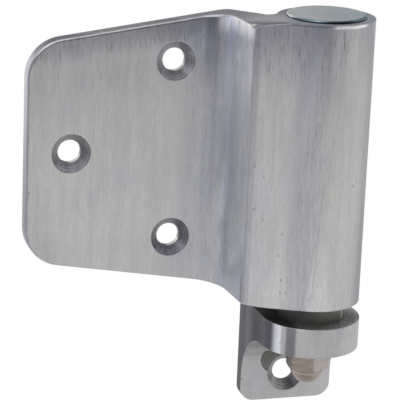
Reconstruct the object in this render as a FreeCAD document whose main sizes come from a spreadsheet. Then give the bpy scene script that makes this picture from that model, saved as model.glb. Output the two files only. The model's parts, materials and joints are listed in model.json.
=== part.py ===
import FreeCAD, Part
import math
import os

import Sketcher

# Cam lift hinge for a flush door: a cast strap with a round barrel turns on a pin that stands in the lug
# of a jamb bracket. Two helical cams inside the barrel lift the door as it opens, and its weight closes it.
# Millimetres, +Z up. The origin is on the jamb face, level with the lug's top and in line with the pin.

SIZES = {
    # Barrel and leaf of the strap
    "barrel_diameter": 29.6,
    "barrel_length": 88.0,
    "bearing_gap": 5.7,
    "pin_offset": 20.9,
    "leaf_reach": 86.9,
    "leaf_thickness": 4.76,
    "leaf_end_height": 67.4,
    "top_taper_start": 15.4,
    "bottom_taper_start": 21.0,
    "leaf_corner_radius": 12.0,
    "leaf_edge_radius": 0.8,
    "bend_reach": 25.9,
    "bend_radius": 8.5,
    "web_reach": 24.4,
    "web_angle": 25.4,
    "web_corner_radius": 2.2,
    "tip_drop": 1.2,
    "tip_slope": 41.0,
    "tip_heading": 55.0,
    "tip_span": 24.0,
    "back_reach": 24.9,
    "back_bend_radius": 4.0,
    "root_angle": 4.0,
    "root_radius": 2.0,
    # Screw holes
    "screw_hole": 7.2,
    "countersink": 12.2,
    "countersink_angle": 82.0,
    "pair_reach": 41.3,
    "pair_spacing": 55.4,
    "end_hole_reach": 73.1,
    # Jamb bracket
    "plate_width": 30.0,
    "plate_shift": 1.0,
    "plate_thickness": 4.0,
    "plate_drop": 34.4,
    "plate_rise": 80.0,
    "plate_corner_radius": 4.5,
    "lug_diameter": 30.6,
    "lug_thickness": 9.2,
    "lug_floor": 2.8,
    "fillet_land": 0.4,
    "lug_top_fillet": 2.5,
    "spot_face": 15.4,
    "low_hole_drop": 25.6,
    "high_hole_rise": 68.0,
    "relief_width": 16.0,
    # Cams
    "cam_diameter": 20.0,
    "cam_bore": 21.5,
    "cam_base": 8.0,
    "cam_lead": 38.0,
    "ramp_angle": 120.0,
    "cam_gap": 0.2,
    "step_clearance": 1.5,
    "follower_web": 8.0,
    "key_width": 6.0,
    "key_depth": 3.0,
    "key_length": 17.0,
    "rib_width": 4.0,
    "rib_height": 1.6,
    "key_clearance": 0.1,
    # Pin, bush and what keeps them together
    "pin_diameter": 12.7,
    "running_clearance": 0.05,
    "stud_diameter": 6.4,
    "stud_clearance": 0.2,
    "stud_length": 8.5,
    "stub_diameter": 9.5,
    "thread_end": 1.5,
    "end_chamfer": 0.8,
    "flats_across": 11.0,
    "guide_bore": 18.5,
    "bush_length": 14.0,
    "bush_flange": 2.0,
    "bush_flange_gap": 0.15,
    "washer_diameter": 19.5,
    "washer_thickness": 1.6,
    "washer_gap": 0.05,
    "lift_room": 12.4,
    "nut_across_flats": 14.3,
    "nut_height": 5.6,
    "nut_chamfer_angle": 30.0,
    "head_room": 1.5,
    # Cap nut
    "cap_across_flats": 11.7,
    "cap_hex_height": 8.2,
    "cap_dome_diameter": 10.6,
    "cap_dome_land": 0.5,
    "cap_height": 13.3,
    "cap_turn": 28.0,
    # Barrel plug
    "plug_diameter": 23.8,
    "plug_rim": 1.0,
    "plug_crown": 0.3,
    "plug_sheet": 0.8,
    "plug_rim_round": 0.6,
    "plug_seat_round": 0.25,
    "plug_skirt": 6.5,
    "plug_slot": 2.4,
    "plug_slot_depth": 5.0,
    "plug_fingers": 6,
    "plug_clearance": 0.1,
}

DOCUMENT = FreeCAD.newDocument("cam_lift_hinge")
SHEET = DOCUMENT.addObject("Spreadsheet::Sheet", "dim")
for row, (alias, value) in enumerate(SIZES.items(), start=1):
    SHEET.set(f"A{row}", alias)
    SHEET.set(f"B{row}", str(value))
    SHEET.setAlias(f"B{row}", alias)
DOCUMENT.recompute()

# Levels and radii that several pieces share, written once in terms of the sheet
CUT_MARGIN = "3"
NEAR = 0.01
AHEAD = 270
LEFT_AFTER_A_TURN = 540
BARREL_RADIUS = "dim.barrel_diameter / 2"
LEAF_FRONT = "(dim.pin_offset - dim.leaf_thickness)"
PLATE_FRONT = "(dim.pin_offset - dim.plate_thickness)"
SOCKET_DEPTH = "(dim.lug_thickness - dim.lug_floor)"
LUG_FILLET = f"({PLATE_FRONT} - dim.fillet_land)"
CAM_RISE = "(dim.cam_lead * dim.ramp_angle / 360)"
CREST = f"(dim.cam_base + {CAM_RISE})"
FOLLOWER_TOP = f"({CREST} + dim.cam_gap + dim.follower_web)"
CAM_SEAT = f"({FOLLOWER_TOP} - dim.bearing_gap)"
BARREL_TOP = "(dim.bearing_gap + dim.barrel_length)"
STUB_TOP = f"({BARREL_TOP} - dim.plug_skirt - dim.head_room)"
PIN_SHOULDER = f"({STUB_TOP} - dim.nut_height - dim.thread_end)"
WASHER_SEAT = f"({PIN_SHOULDER} - dim.lift_room - dim.washer_thickness)"
BUSH_SEAT = f"({WASHER_SEAT} - dim.washer_gap - dim.bush_flange)"
PIN_RADIUS = "dim.pin_diameter / 2"
PIN_HOLE_RADIUS = "(dim.pin_diameter / 2 + dim.running_clearance)"
RIB_REACH = "(dim.cam_bore / 2 + dim.rib_height)"


def size(text):
    """Gives the number that an expression over the sheet has now."""
    return float(SHEET.evalExpression(text))


def new_body(label, y="-dim.pin_offset", z="0"):
    """Starts a sub-part with its own name, placed on the pin axis at a level."""
    body = DOCUMENT.addObject("PartDesign::Body", label)
    body.Label = label
    body.setExpression("Placement.Base.y", y)
    body.setExpression("Placement.Base.z", z)
    return body


def new_sketch(body, name, plane, offset="0"):
    """Attaches an empty sketch to one of the body's own planes, moved along its normal."""
    sketch = body.newObject("Sketcher::SketchObject", f"{body.Label}_{name}")
    support = next(item for item in body.Origin.OriginFeatures if item.Role == plane)
    sketch.AttachmentSupport = [(support, "")]
    sketch.MapMode = "FlatFace"
    sketch.setExpression("AttachmentOffset.Base.z", offset)
    return sketch


def tie(sketch, kind, edge, point, text):
    """Holds one coordinate of a point at an expression over the sheet."""
    index = sketch.addConstraint(Sketcher.Constraint(kind, -1, 1, edge, point, size(text)))
    sketch.setExpression(f"Constraints[{index}]", text)


def tie_corner(sketch, edge, point, corner):
    """Holds both coordinates of a point."""
    tie(sketch, "DistanceX", edge, point, corner[0])
    tie(sketch, "DistanceY", edge, point, corner[1])


def vector(corner):
    """Gives a corner's place in its sketch."""
    return FreeCAD.Vector(size(corner[0]), size(corner[1]), 0)


def close_chain(sketch, edges):
    """Joins each edge's end to the start of the next, all the way round."""
    for edge, following in zip(edges, edges[1:] + edges[:1]):
        sketch.addConstraint(Sketcher.Constraint("Coincident", edge, 2, following, 1))


def draw_polygon(sketch, corners):
    """Draws a closed outline of straight edges through corners given as expressions."""
    points = [vector(corner) for corner in corners]
    edges = []
    for start, end in zip(points, points[1:] + points[:1]):
        edges.append(sketch.addGeometry(Part.LineSegment(start, end), False))
    close_chain(sketch, edges)
    for edge, corner in zip(edges, corners):
        tie_corner(sketch, edge, 1, corner)


def draw_rectangle(sketch, left, right, bottom, top):
    """Draws an upright rectangle between four expressions."""
    draw_polygon(sketch, [(left, bottom), (right, bottom), (right, top), (left, top)])


def draw_circle(sketch, centre, diameter):
    """Draws a full circle at a corner given as expressions."""
    circle = Part.Circle(vector(centre), FreeCAD.Vector(0, 0, 1), size(diameter) / 2)
    edge = sketch.addGeometry(circle, False)
    tie_corner(sketch, edge, 3, centre)
    bind_radius(sketch, "Diameter", edge, diameter)


def bind_radius(sketch, kind, edge, text):
    """Holds a circle's or an arc's radius or diameter at an expression."""
    index = sketch.addConstraint(Sketcher.Constraint(kind, edge, size(text)))
    sketch.setExpression(f"Constraints[{index}]", text)


def centred_arc(sketch, radius, start, end):
    """Adds an arc about the sketch's origin, from one angle to another in degrees."""
    circle = Part.Circle(FreeCAD.Vector(), FreeCAD.Vector(0, 0, 1), size(radius))
    edge = sketch.addGeometry(Part.ArcOfCircle(circle, math.radians(start), math.radians(end)), False)
    sketch.addConstraint(Sketcher.Constraint("Coincident", edge, 3, -1, 1))
    bind_radius(sketch, "Radius", edge, radius)
    return edge


def hexagon(across_flats, turn="0"):
    """Lists the six corners of a hexagon about the axis."""
    corners = []
    for step in range(6):
        angle = f"({turn} + {60 * step})"
        corners.append((f"{across_flats} / sqrt(3) * cos{angle}", f"{across_flats} / sqrt(3) * sin{angle}"))
    return corners


def add_feature(body, kind, name, sketch, **settings):
    """Adds a sketch-based feature. A setting given as text is an expression for that property."""
    feature = body.newObject(f"PartDesign::{kind}", f"{body.Label}_{name}")
    feature.Profile = sketch
    if kind in ("Revolution", "Groove"):
        feature.ReferenceAxis = (sketch, ["V_Axis"])
        feature.Angle = 360
    for setting, amount in settings.items():
        if setting in ("Length", "Length2"):
            feature.setExpression(setting, amount)
        else:
            setattr(feature, setting, amount)
    sketch.Visibility = False
    DOCUMENT.recompute()
    return feature


def cut(body, kind, name, sketch, **settings):
    """Adds a feature that has to take material away."""
    before = body.Shape
    feature = add_feature(body, kind, name, sketch, **settings)
    if before.cut(body.Shape).Volume <= 0:
        raise RuntimeError(f"{feature.Name} removes nothing")
    return feature


def round_edges(body, name, radius, test, kind="Fillet"):
    """Rounds or bevels every edge of the body's last feature that passes a test."""
    base = body.Tip
    names = [f"Edge{number}" for number, edge in enumerate(base.Shape.Edges, 1) if test(edge)]
    feature = body.newObject(f"PartDesign::{kind}", f"{body.Label}_{name}")
    feature.Base = (base, names)
    feature.setExpression("Radius" if kind == "Fillet" else "Size", radius)
    DOCUMENT.recompute()
    return feature


def upright_at(corner):
    """Makes a test for the upright edge that stands on a corner of the plan."""
    place = vector(corner)

    def stands_there(edge):
        start, end = edge.Vertexes[0].Point, edge.Vertexes[-1].Point
        middle = (start + end) / 2
        upright = abs(start.x - end.x) < NEAR and abs(start.y - end.y) < NEAR
        return upright and abs(middle.x - place.x) < NEAR and abs(middle.y - place.y) < NEAR
    return stands_there


def make_door_strap():
    """Casts the leaf, its offset web and the barrel as one piece, then drills it."""
    body = new_body("door_strap", z="dim.bearing_gap")
    leaf_end = "-dim.leaf_reach"
    bend = ("-dim.bend_reach", LEAF_FRONT)
    web_y = f"((dim.web_reach * sin(dim.web_angle) - {BARREL_RADIUS}) / cos(dim.web_angle))"
    web_corner = ("-dim.web_reach", web_y)
    tangent = (f"-{BARREL_RADIUS} * sin(dim.web_angle)", f"-{BARREL_RADIUS} * cos(dim.web_angle)")
    root = (f"-{BARREL_RADIUS} * cos(dim.root_angle)", f"{BARREL_RADIUS} * sin(dim.root_angle)")
    back_bend = ("-dim.back_reach", "dim.pin_offset")

    # Plan of the casting: leaf, bend, web, a face tangent to the barrel, the barrel and the way back
    plan = new_sketch(body, "plan", "XY_Plane")
    front = [(leaf_end, LEAF_FRONT), bend, web_corner, tangent]
    edges = []
    for start, end in zip(front, front[1:]):
        edges.append(plan.addGeometry(Part.LineSegment(vector(start), vector(end)), False))
    arc_start = AHEAD - size("dim.web_angle")
    arc_end = LEFT_AFTER_A_TURN - size("dim.root_angle")
    barrel = centred_arc(plan, BARREL_RADIUS, arc_start, arc_end)
    edges.append(barrel)
    back = [root, back_bend, (leaf_end, "dim.pin_offset"), (leaf_end, LEAF_FRONT)]
    for start, end in zip(back, back[1:]):
        edges.append(plan.addGeometry(Part.LineSegment(vector(start), vector(end)), False))
    close_chain(plan, edges)
    for edge, corner in zip(edges, front[:3]):
        tie_corner(plan, edge, 1, corner)
    tie(plan, "DistanceX", barrel, 1, tangent[0])
    tie(plan, "DistanceY", barrel, 2, root[1])
    for edge, corner in zip(edges[5:], back[1:3]):
        tie_corner(plan, edge, 1, corner)
    add_feature(body, "Pad", "casting", plan, Length="dim.barrel_length")
    round_edges(body, "bend", "dim.bend_radius", upright_at(bend))
    round_edges(body, "web_corner", "dim.web_corner_radius", upright_at(web_corner))
    round_edges(body, "back_bend", "dim.back_bend_radius", upright_at(back_bend))
    round_edges(body, "root", "dim.root_radius", upright_at(root))

    # Top and bottom of the leaf taper towards its free end
    far = f"(-dim.leaf_reach - {CUT_MARGIN})"
    end_step = "((dim.barrel_length - dim.leaf_end_height) / 2)"
    top_fall = f"({end_step} / (dim.leaf_reach - dim.top_taper_start))"
    bottom_fall = f"({end_step} / (dim.leaf_reach - dim.bottom_taper_start))"
    top_depth = f"({top_fall} * (dim.leaf_reach + {CUT_MARGIN} - dim.top_taper_start))"
    bottom_depth = f"({bottom_fall} * (dim.leaf_reach + {CUT_MARGIN} - dim.bottom_taper_start))"
    taper = new_sketch(body, "taper", "XZ_Plane")
    draw_polygon(taper, [
        ("-dim.top_taper_start", "dim.barrel_length"),
        ("-dim.top_taper_start", f"dim.barrel_length + {CUT_MARGIN}"),
        (far, f"dim.barrel_length + {CUT_MARGIN}"),
        (far, f"dim.barrel_length - {top_depth}"),
    ])
    draw_polygon(taper, [
        ("-dim.bottom_taper_start", "0"),
        (far, bottom_depth),
        (far, f"-{CUT_MARGIN}"),
        ("-dim.bottom_taper_start", f"-{CUT_MARGIN}"),
    ])
    cut(body, "Pocket", "taper_cut", taper, Type="ThroughAll", SideType="Symmetric")

    def at_leaf_end(edge):
        ends = [vertex.Point for vertex in edge.Vertexes]
        at_end = all(abs(point.x - size(leaf_end)) < NEAR for point in ends)
        return at_end and abs(ends[0].z - ends[-1].z) < NEAR
    round_edges(body, "leaf_corners", "dim.leaf_corner_radius", at_leaf_end)

    def on_leaf_front(edge):
        box = edge.BoundBox
        flat = abs(box.YMax - size(LEAF_FRONT)) < NEAR and abs(box.YMin - size(LEAF_FRONT)) < NEAR
        bend_line = box.XLength < NEAR and box.XMin > size(leaf_end) + NEAR
        return flat and not bend_line
    round_edges(body, "leaf_edges", "dim.leaf_edge_radius", on_leaf_front)

    # Corner ground off where the web's top meets its front edge: a plane that rises away from the corner
    tip = new_sketch(body, "tip", "XY_Plane")
    tip_level = f"dim.barrel_length - {top_fall} * (dim.web_reach - dim.top_taper_start) - dim.tip_drop"
    heading = math.radians(size("dim.tip_heading"))
    level_line = FreeCAD.Vector(math.cos(heading), -math.sin(heading), 0)
    tilt = FreeCAD.Rotation(level_line, size("dim.tip_slope"))
    tip.AttachmentOffset = FreeCAD.Placement(FreeCAD.Vector(), tilt)
    tip.setExpression("AttachmentOffset.Base.x", web_corner[0])
    tip.setExpression("AttachmentOffset.Base.y", web_corner[1])
    tip.setExpression("AttachmentOffset.Base.z", tip_level)
    half_tip = "dim.tip_span / 2"
    draw_rectangle(tip, f"-{half_tip}", half_tip, f"-{half_tip}", half_tip)
    cut(body, "Pocket", "tip_cut", tip, Length="dim.tip_span", Reversed=True)

    # Stepped bore: cam housing below, guide bore between, nut and plug room above
    bore = new_sketch(body, "bore", "XZ_Plane")
    step = f"({BUSH_SEAT} - dim.bearing_gap)"
    wide = "dim.cam_bore / 2"
    narrow = "dim.guide_bore / 2"
    draw_polygon(bore, [
        ("0", f"-{CUT_MARGIN}"), (wide, f"-{CUT_MARGIN}"), (wide, CAM_SEAT), (narrow, CAM_SEAT),
        (narrow, step), (wide, step), (wide, f"dim.barrel_length + {CUT_MARGIN}"),
        ("0", f"dim.barrel_length + {CUT_MARGIN}"),
    ])
    cut(body, "Groove", "bore_cut", bore)

    # Two keyways hold the upper cam against turning
    keyway = new_sketch(body, "keyway", "XY_Plane")
    reach = f"({RIB_REACH} + dim.key_clearance)"
    half = "(dim.rib_width / 2 + dim.key_clearance)"
    draw_rectangle(keyway, f"-{reach}", reach, f"-{half}", half)
    cut(body, "Pocket", "keyway_cut", keyway, Length=CAM_SEAT, Reversed=True)

    middle = "dim.barrel_length / 2"
    centres = [
        ("-dim.pair_reach", f"{middle} + dim.pair_spacing / 2"),
        ("-dim.pair_reach", f"{middle} - dim.pair_spacing / 2"),
        ("-dim.end_hole_reach", middle),
    ]
    drill_countersunk(body, f"-{LEAF_FRONT}", centres)


def drill_countersunk(body, offset, centres):
    """Drills countersunk screw holes from a front face."""
    sketch = new_sketch(body, "screw_holes", "XZ_Plane", offset)
    for centre in centres:
        draw_circle(sketch, centre, "dim.screw_hole")
    DOCUMENT.recompute()
    before = body.Shape.Volume
    hole = body.newObject("PartDesign::Hole", f"{body.Label}_holes")
    hole.Profile = sketch
    DOCUMENT.recompute()
    hole.DepthType = "ThroughAll"
    hole.HoleCutType = "Countersink"
    hole.HoleCutCustomValues = True
    hole.setExpression("Diameter", "dim.screw_hole")
    hole.setExpression("HoleCutDiameter", "dim.countersink")
    hole.setExpression("HoleCutCountersinkAngle", "dim.countersink_angle")
    DOCUMENT.recompute()
    if body.Shape.Volume >= before:
        raise RuntimeError(f"{hole.Name} removes nothing")


def make_jamb_bracket():
    """Casts the jamb plate with its lug, then trims and drills it."""
    body = new_body("jamb_bracket")
    under = "-dim.lug_thickness"
    plate_left = "(-dim.plate_width / 2 - dim.plate_shift)"
    plate_right = "(dim.plate_width / 2 - dim.plate_shift)"
    plate = new_sketch(body, "plate", "XZ_Plane", f"-{PLATE_FRONT}")
    draw_rectangle(plate, plate_left, plate_right, "-dim.plate_drop", "dim.plate_rise")
    add_feature(body, "Pad", "plate_pad", plate, Length="dim.plate_thickness", Reversed=True)
    # Sides of the lug run back from its round end to the plate's edges
    lug = new_sketch(body, "lug", "XY_Plane")
    draw_polygon(lug, [
        ("-dim.lug_diameter / 2", "0"), ("dim.lug_diameter / 2", "0"),
        (plate_right, PLATE_FRONT), (plate_left, PLATE_FRONT),
    ])
    add_feature(body, "Pad", "lug_pad", lug, Length="dim.lug_thickness", Reversed=True)
    # Round end of the lug, about the pin axis
    lug_end = new_sketch(body, "lug_end", "XY_Plane")
    draw_circle(lug_end, ("0", "0"), "dim.lug_diameter")
    add_feature(body, "Pad", "lug_end_pad", lug_end, Length="dim.lug_thickness", Reversed=True)

    def crossing_at(level):
        def runs_across(edge):
            box = edge.BoundBox
            place = abs(box.YMin - size(PLATE_FRONT)) < NEAR and abs(box.YMax - size(PLATE_FRONT)) < NEAR
            return place and abs(box.ZMin - size(level)) < NEAR and abs(box.ZMax - size(level)) < NEAR
        return runs_across
    round_edges(body, "under_fillet", LUG_FILLET, crossing_at(under))
    round_edges(body, "top_fillet", "dim.lug_top_fillet", crossing_at("0"))

    def at_plate_corner(edge):
        box = edge.BoundBox
        at_end = any(abs(box.ZMin - size(end)) < NEAR and abs(box.ZMax - size(end)) < NEAR
                     for end in ("dim.plate_rise", "-dim.plate_drop"))
        return at_end and box.XLength < NEAR
    round_edges(body, "plate_corners", "dim.plate_corner_radius", at_plate_corner)

    # Socket for the pin's foot, the smaller hole for its threaded stud and a spot face for the cap nut
    socket = new_sketch(body, "socket", "XZ_Plane")
    stud_hole = "(dim.stud_diameter / 2 + dim.stud_clearance)"
    draw_polygon(socket, [
        ("0", CUT_MARGIN), (PIN_HOLE_RADIUS, CUT_MARGIN), (PIN_HOLE_RADIUS, f"-{SOCKET_DEPTH}"),
        (stud_hole, f"-{SOCKET_DEPTH}"), (stud_hole, under), ("dim.spot_face / 2", under),
        ("dim.spot_face / 2", f"{under} - {LUG_FILLET}"), ("0", f"{under} - {LUG_FILLET}"),
    ])
    cut(body, "Groove", "socket_cut", socket)

    # Slot across the lug's top that holds the lower cam's key
    slot = new_sketch(body, "slot", "XY_Plane")
    long_half = "(dim.key_length / 2 + dim.key_clearance)"
    short_half = "(dim.key_width / 2 + dim.key_clearance)"
    draw_rectangle(slot, f"-{long_half}", long_half, f"-{short_half}", short_half)
    cut(body, "Pocket", "slot_cut", slot, Length="dim.key_depth + dim.key_clearance")

    # Room for the screw head where the big fillet would cover it
    relief = new_sketch(body, "relief", "XZ_Plane", f"-{PLATE_FRONT}")
    draw_circle(relief, ("-dim.plate_shift", "-dim.low_hole_drop"), "dim.relief_width")
    cut(body, "Pocket", "relief_cut", relief, Length=LUG_FILLET, Reversed=True)

    centres = [("-dim.plate_shift", "-dim.low_hole_drop"), ("-dim.plate_shift", "dim.high_hole_rise")]
    drill_countersunk(body, f"-{PLATE_FRONT}", centres)


def make_hinge_pin():
    """Turns the pin with its threaded ends and mills two flats for the keyed washer."""
    body = new_body("hinge_pin")
    profile = new_sketch(body, "profile", "XZ_Plane")
    stud_end = "(-dim.lug_thickness - dim.stud_length)"
    draw_polygon(profile, [
        ("0", stud_end), ("dim.stud_diameter / 2", stud_end), ("dim.stud_diameter / 2", f"-{SOCKET_DEPTH}"),
        (PIN_RADIUS, f"-{SOCKET_DEPTH}"), (PIN_RADIUS, PIN_SHOULDER), ("dim.stub_diameter / 2", PIN_SHOULDER),
        ("dim.stub_diameter / 2", STUB_TOP), ("0", STUB_TOP),
    ])
    add_feature(body, "Revolution", "turned", profile)

    def at_thread_end(edge):
        box = edge.BoundBox
        return any(abs(box.ZMin - size(end)) < NEAR and abs(box.ZMax - size(end)) < NEAR
                   for end in (stud_end, STUB_TOP))
    round_edges(body, "thread_ends", "dim.end_chamfer", at_thread_end, kind="Chamfer")

    flats = new_sketch(body, "flats", "XY_Plane", f"{WASHER_SEAT} - dim.bush_flange")
    outside = f"{PIN_RADIUS} + {CUT_MARGIN}"
    draw_rectangle(flats, f"-({outside})", outside, "dim.flats_across / 2", outside)
    draw_rectangle(flats, f"-({outside})", outside, f"-({outside})", "-dim.flats_across / 2")
    length = f"{PIN_SHOULDER} - {WASHER_SEAT} + dim.bush_flange"
    cut(body, "Pocket", "flats_cut", flats, Length=length, Reversed=True)


def bevel_hexagon(body, across_flats, level, direction):
    """Bevels a hexagon's corners at one end, as a lathe does, from the inscribed circle outwards."""
    bevel = new_sketch(body, "bevel_up" if direction > 0 else "bevel_down", "XZ_Plane")
    inner = f"{across_flats} / 2"
    outer = f"({across_flats} / sqrt(3) + {CUT_MARGIN})"
    drop = f"(({outer} - {inner}) * tan(dim.nut_chamfer_angle))"
    sign = "-" if direction > 0 else "+"
    draw_polygon(bevel, [(inner, level), (outer, level), (outer, f"{level} {sign} {drop}")])
    cut(body, "Groove", "bevel_up_cut" if direction > 0 else "bevel_down_cut", bevel)


def make_cap_nut():
    """Forms the hexagon cap nut with its dome and blind threaded hole, hanging under the lug."""
    body = new_body("cap_nut", z="-dim.lug_thickness")
    hexagon_sketch = new_sketch(body, "hexagon", "XY_Plane")
    draw_polygon(hexagon_sketch, hexagon("dim.cap_across_flats", "dim.cap_turn"))
    add_feature(body, "Pad", "hexagon_pad", hexagon_sketch, Length="dim.cap_hex_height", Reversed=True)
    bevel_hexagon(body, "dim.cap_across_flats", "-dim.cap_hex_height", -1)

    # Dome: a short round land under the hexagon, then an arc down to the axis
    dome = new_sketch(body, "dome", "XZ_Plane")
    radius = "(dim.cap_dome_diameter / 2)"
    land_end = "(-dim.cap_hex_height - dim.cap_dome_land)"
    rise = "(dim.cap_height - dim.cap_hex_height - dim.cap_dome_land)"
    ball = f"(({radius} * {radius} + {rise} * {rise}) / (2 * {rise}))"
    apex = ("0", "-dim.cap_height")
    corners = [(radius, land_end), (radius, "-dim.cap_hex_height / 2"), ("0", "-dim.cap_hex_height / 2")]
    centre = ("0", f"{ball} - dim.cap_height")
    spread = math.atan2(size(radius), size(centre[1]) - size(land_end))
    circle = Part.Circle(vector(centre), FreeCAD.Vector(0, 0, 1), size(ball))
    downward = math.radians(AHEAD)
    arc = dome.addGeometry(Part.ArcOfCircle(circle, downward, downward + spread), False)
    edges = [arc]
    for first, second in zip(corners, corners[1:] + [apex]):
        edges.append(dome.addGeometry(Part.LineSegment(vector(first), vector(second)), False))
    close_chain(dome, edges)
    tie_corner(dome, arc, 1, apex)
    tie(dome, "DistanceX", arc, 3, centre[0])
    for edge, corner in zip(edges[1:], corners):
        tie_corner(dome, edge, 1, corner)
    add_feature(body, "Revolution", "dome_turned", dome)

    thread = new_sketch(body, "thread", "XY_Plane")
    draw_circle(thread, ("0", "0"), "dim.stud_diameter + dim.running_clearance * 2")
    cut(body, "Pocket", "thread_cut", thread, Length="dim.stud_length + dim.head_room")


def make_retaining_nut():
    """Makes the thin hexagon nut that seats on the pin's top shoulder."""
    body = new_body("retaining_nut", z=PIN_SHOULDER)
    sketch = new_sketch(body, "hexagon", "XY_Plane")
    draw_polygon(sketch, hexagon("dim.nut_across_flats"))
    draw_circle(sketch, ("0", "0"), "dim.stub_diameter + dim.running_clearance * 2")
    add_feature(body, "Pad", "hexagon_pad", sketch, Length="dim.nut_height")
    bevel_hexagon(body, "dim.nut_across_flats", "dim.nut_height", 1)
    bevel_hexagon(body, "dim.nut_across_flats", "0", -1)


def make_retaining_washer():
    """Makes the washer whose flatted hole keeps it from turning on the pin."""
    body = new_body("retaining_washer", z=WASHER_SEAT)
    sketch = new_sketch(body, "ring", "XY_Plane")
    draw_circle(sketch, ("0", "0"), "dim.washer_diameter")
    radius = f"({PIN_RADIUS} + dim.key_clearance)"
    half = "(dim.flats_across / 2 + dim.key_clearance)"
    angle = math.degrees(math.asin(size(half) / size(radius)))
    right = centred_arc(sketch, radius, -angle, angle)
    left = centred_arc(sketch, radius, 180 - angle, 180 + angle)
    place = math.sqrt(size(radius) ** 2 - size(half) ** 2)
    upper = sketch.addGeometry(Part.LineSegment(FreeCAD.Vector(place, size(half), 0),
                                                FreeCAD.Vector(-place, size(half), 0)), False)
    lower = sketch.addGeometry(Part.LineSegment(FreeCAD.Vector(-place, -size(half), 0),
                                                FreeCAD.Vector(place, -size(half), 0)), False)
    close_chain(sketch, [right, upper, left, lower])
    for edge, text in ((upper, half), (lower, f"-{half}")):
        sketch.addConstraint(Sketcher.Constraint("Horizontal", edge))
        tie(sketch, "DistanceY", edge, 1, text)
    add_feature(body, "Pad", "ring_pad", sketch, Length="dim.washer_thickness")


def make_upper_bush():
    """Turns the flanged guide bush that steadies the barrel's top on the pin."""
    body = new_body("upper_bush", z=BUSH_SEAT)
    profile = new_sketch(body, "profile", "XZ_Plane")
    outside = "(dim.guide_bore / 2 - dim.running_clearance)"
    rim = "(dim.cam_bore / 2 - dim.bush_flange_gap)"
    draw_polygon(profile, [
        (PIN_HOLE_RADIUS, "-dim.bush_length"), (outside, "-dim.bush_length"), (outside, "0"), (rim, "0"),
        (rim, "dim.bush_flange"), (PIN_HOLE_RADIUS, "dim.bush_flange"),
    ])
    add_feature(body, "Revolution", "turned", profile)


def make_barrel_plug():
    """Draws the sheet plug: a low crowned head with a round rim, and a skirt slit into spring fingers."""
    body = new_body("barrel_plug", z=BARREL_TOP)
    profile = new_sketch(body, "profile", "XZ_Plane")
    head = "dim.plug_diameter / 2"
    skirt = "(dim.cam_bore / 2 - dim.plug_clearance)"
    inside = f"({skirt} - dim.plug_sheet)"
    draw_polygon(profile, [
        ("0", "dim.plug_rim + dim.plug_crown - dim.plug_sheet"), (inside, "dim.plug_rim - dim.plug_sheet"),
        (inside, "-dim.plug_skirt"), (skirt, "-dim.plug_skirt"), (skirt, "0"), (head, "0"),
        (head, "dim.plug_rim"), ("0", "dim.plug_rim + dim.plug_crown"),
    ])
    add_feature(body, "Revolution", "drawn", profile)

    def at_rim(level):
        def circles_there(edge):
            box = edge.BoundBox
            wide = abs(box.XMax - size(head)) < NEAR
            return wide and abs(box.ZMin - size(level)) < NEAR and abs(box.ZMax - size(level)) < NEAR
        return circles_there
    round_edges(body, "rim", "dim.plug_rim_round", at_rim("dim.plug_rim"))
    round_edges(body, "rim_seat", "dim.plug_seat_round", at_rim("0"))

    slot = new_sketch(body, "slot", "YZ_Plane")
    half = "dim.plug_slot / 2"
    slot_bottom = f"-dim.plug_skirt - {CUT_MARGIN}"
    draw_rectangle(slot, f"-{half}", half, slot_bottom, "dim.plug_slot_depth - dim.plug_skirt")
    feature = cut(body, "Pocket", "slot_cut", slot, Length=head, Reversed=True)
    pattern = body.newObject("PartDesign::PolarPattern", "barrel_plug_fingers")
    pattern.Originals = [feature]
    axis = next(item for item in body.Origin.OriginFeatures if item.Role == "Z_Axis")
    pattern.Axis = (axis, [""])
    pattern.Angle = 360
    pattern.setExpression("Occurrences", "dim.plug_fingers")
    body.Tip = pattern
    DOCUMENT.recompute()


def ramp_block(name, level, length, turn):
    """Extrudes a helical ramp face up or down into a block that trims one cam lobe."""
    curves = []
    ends = {"inner": f"{PIN_RADIUS} - {CUT_MARGIN}", "outer": f"dim.cam_bore / 2 + {CUT_MARGIN}"}
    for end, radius in ends.items():
        curve = DOCUMENT.addObject("Part::Helix", f"{name}_{end}")
        curve.setExpression("Pitch", "dim.cam_lead")
        curve.setExpression("Height", CAM_RISE)
        curve.setExpression("Radius", radius)
        curves.append(curve)
    DOCUMENT.recompute()
    face = DOCUMENT.addObject("Part::RuledSurface", f"{name}_face")
    face.Curve1 = (curves[0], ["Edge1"])
    face.Curve2 = (curves[1], ["Edge1"])
    block = DOCUMENT.addObject("Part::Extrusion", name)
    block.Base = face
    block.DirMode = "Custom"
    block.Dir = FreeCAD.Vector(0, 0, 1)
    block.setExpression("LengthFwd", length)
    block.Solid = True
    block.setExpression("Placement.Base.z", level)
    block.Placement.Rotation = FreeCAD.Rotation(FreeCAD.Vector(0, 0, 1), turn)
    DOCUMENT.recompute()
    return block


def cylinder(name, radius, height, level="0", angle="360", turn=0):
    """Adds a cylinder, or a sector of one, on the pin axis."""
    solid = DOCUMENT.addObject("Part::Cylinder", name)
    solid.setExpression("Radius", radius)
    solid.setExpression("Height", height)
    solid.setExpression("Angle", angle)
    solid.Placement.Rotation = FreeCAD.Rotation(FreeCAD.Vector(0, 0, 1), turn)
    solid.setExpression("Placement.Base.z", level)
    return solid


def block_at(name, length, width, height, level):
    """Adds a box centred on the pin axis, standing on a level."""
    solid = DOCUMENT.addObject("Part::Box", name)
    solid.setExpression("Length", length)
    solid.setExpression("Width", width)
    solid.setExpression("Height", height)
    solid.setExpression("Placement.Base.x", f"-({length}) / 2")
    solid.setExpression("Placement.Base.y", f"-({width}) / 2")
    solid.setExpression("Placement.Base.z", level)
    return solid


def fuse(name, *solids):
    """Joins solids into one."""
    joined = DOCUMENT.addObject("Part::MultiFuse", name)
    joined.Shapes = list(solids)
    return joined


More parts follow.
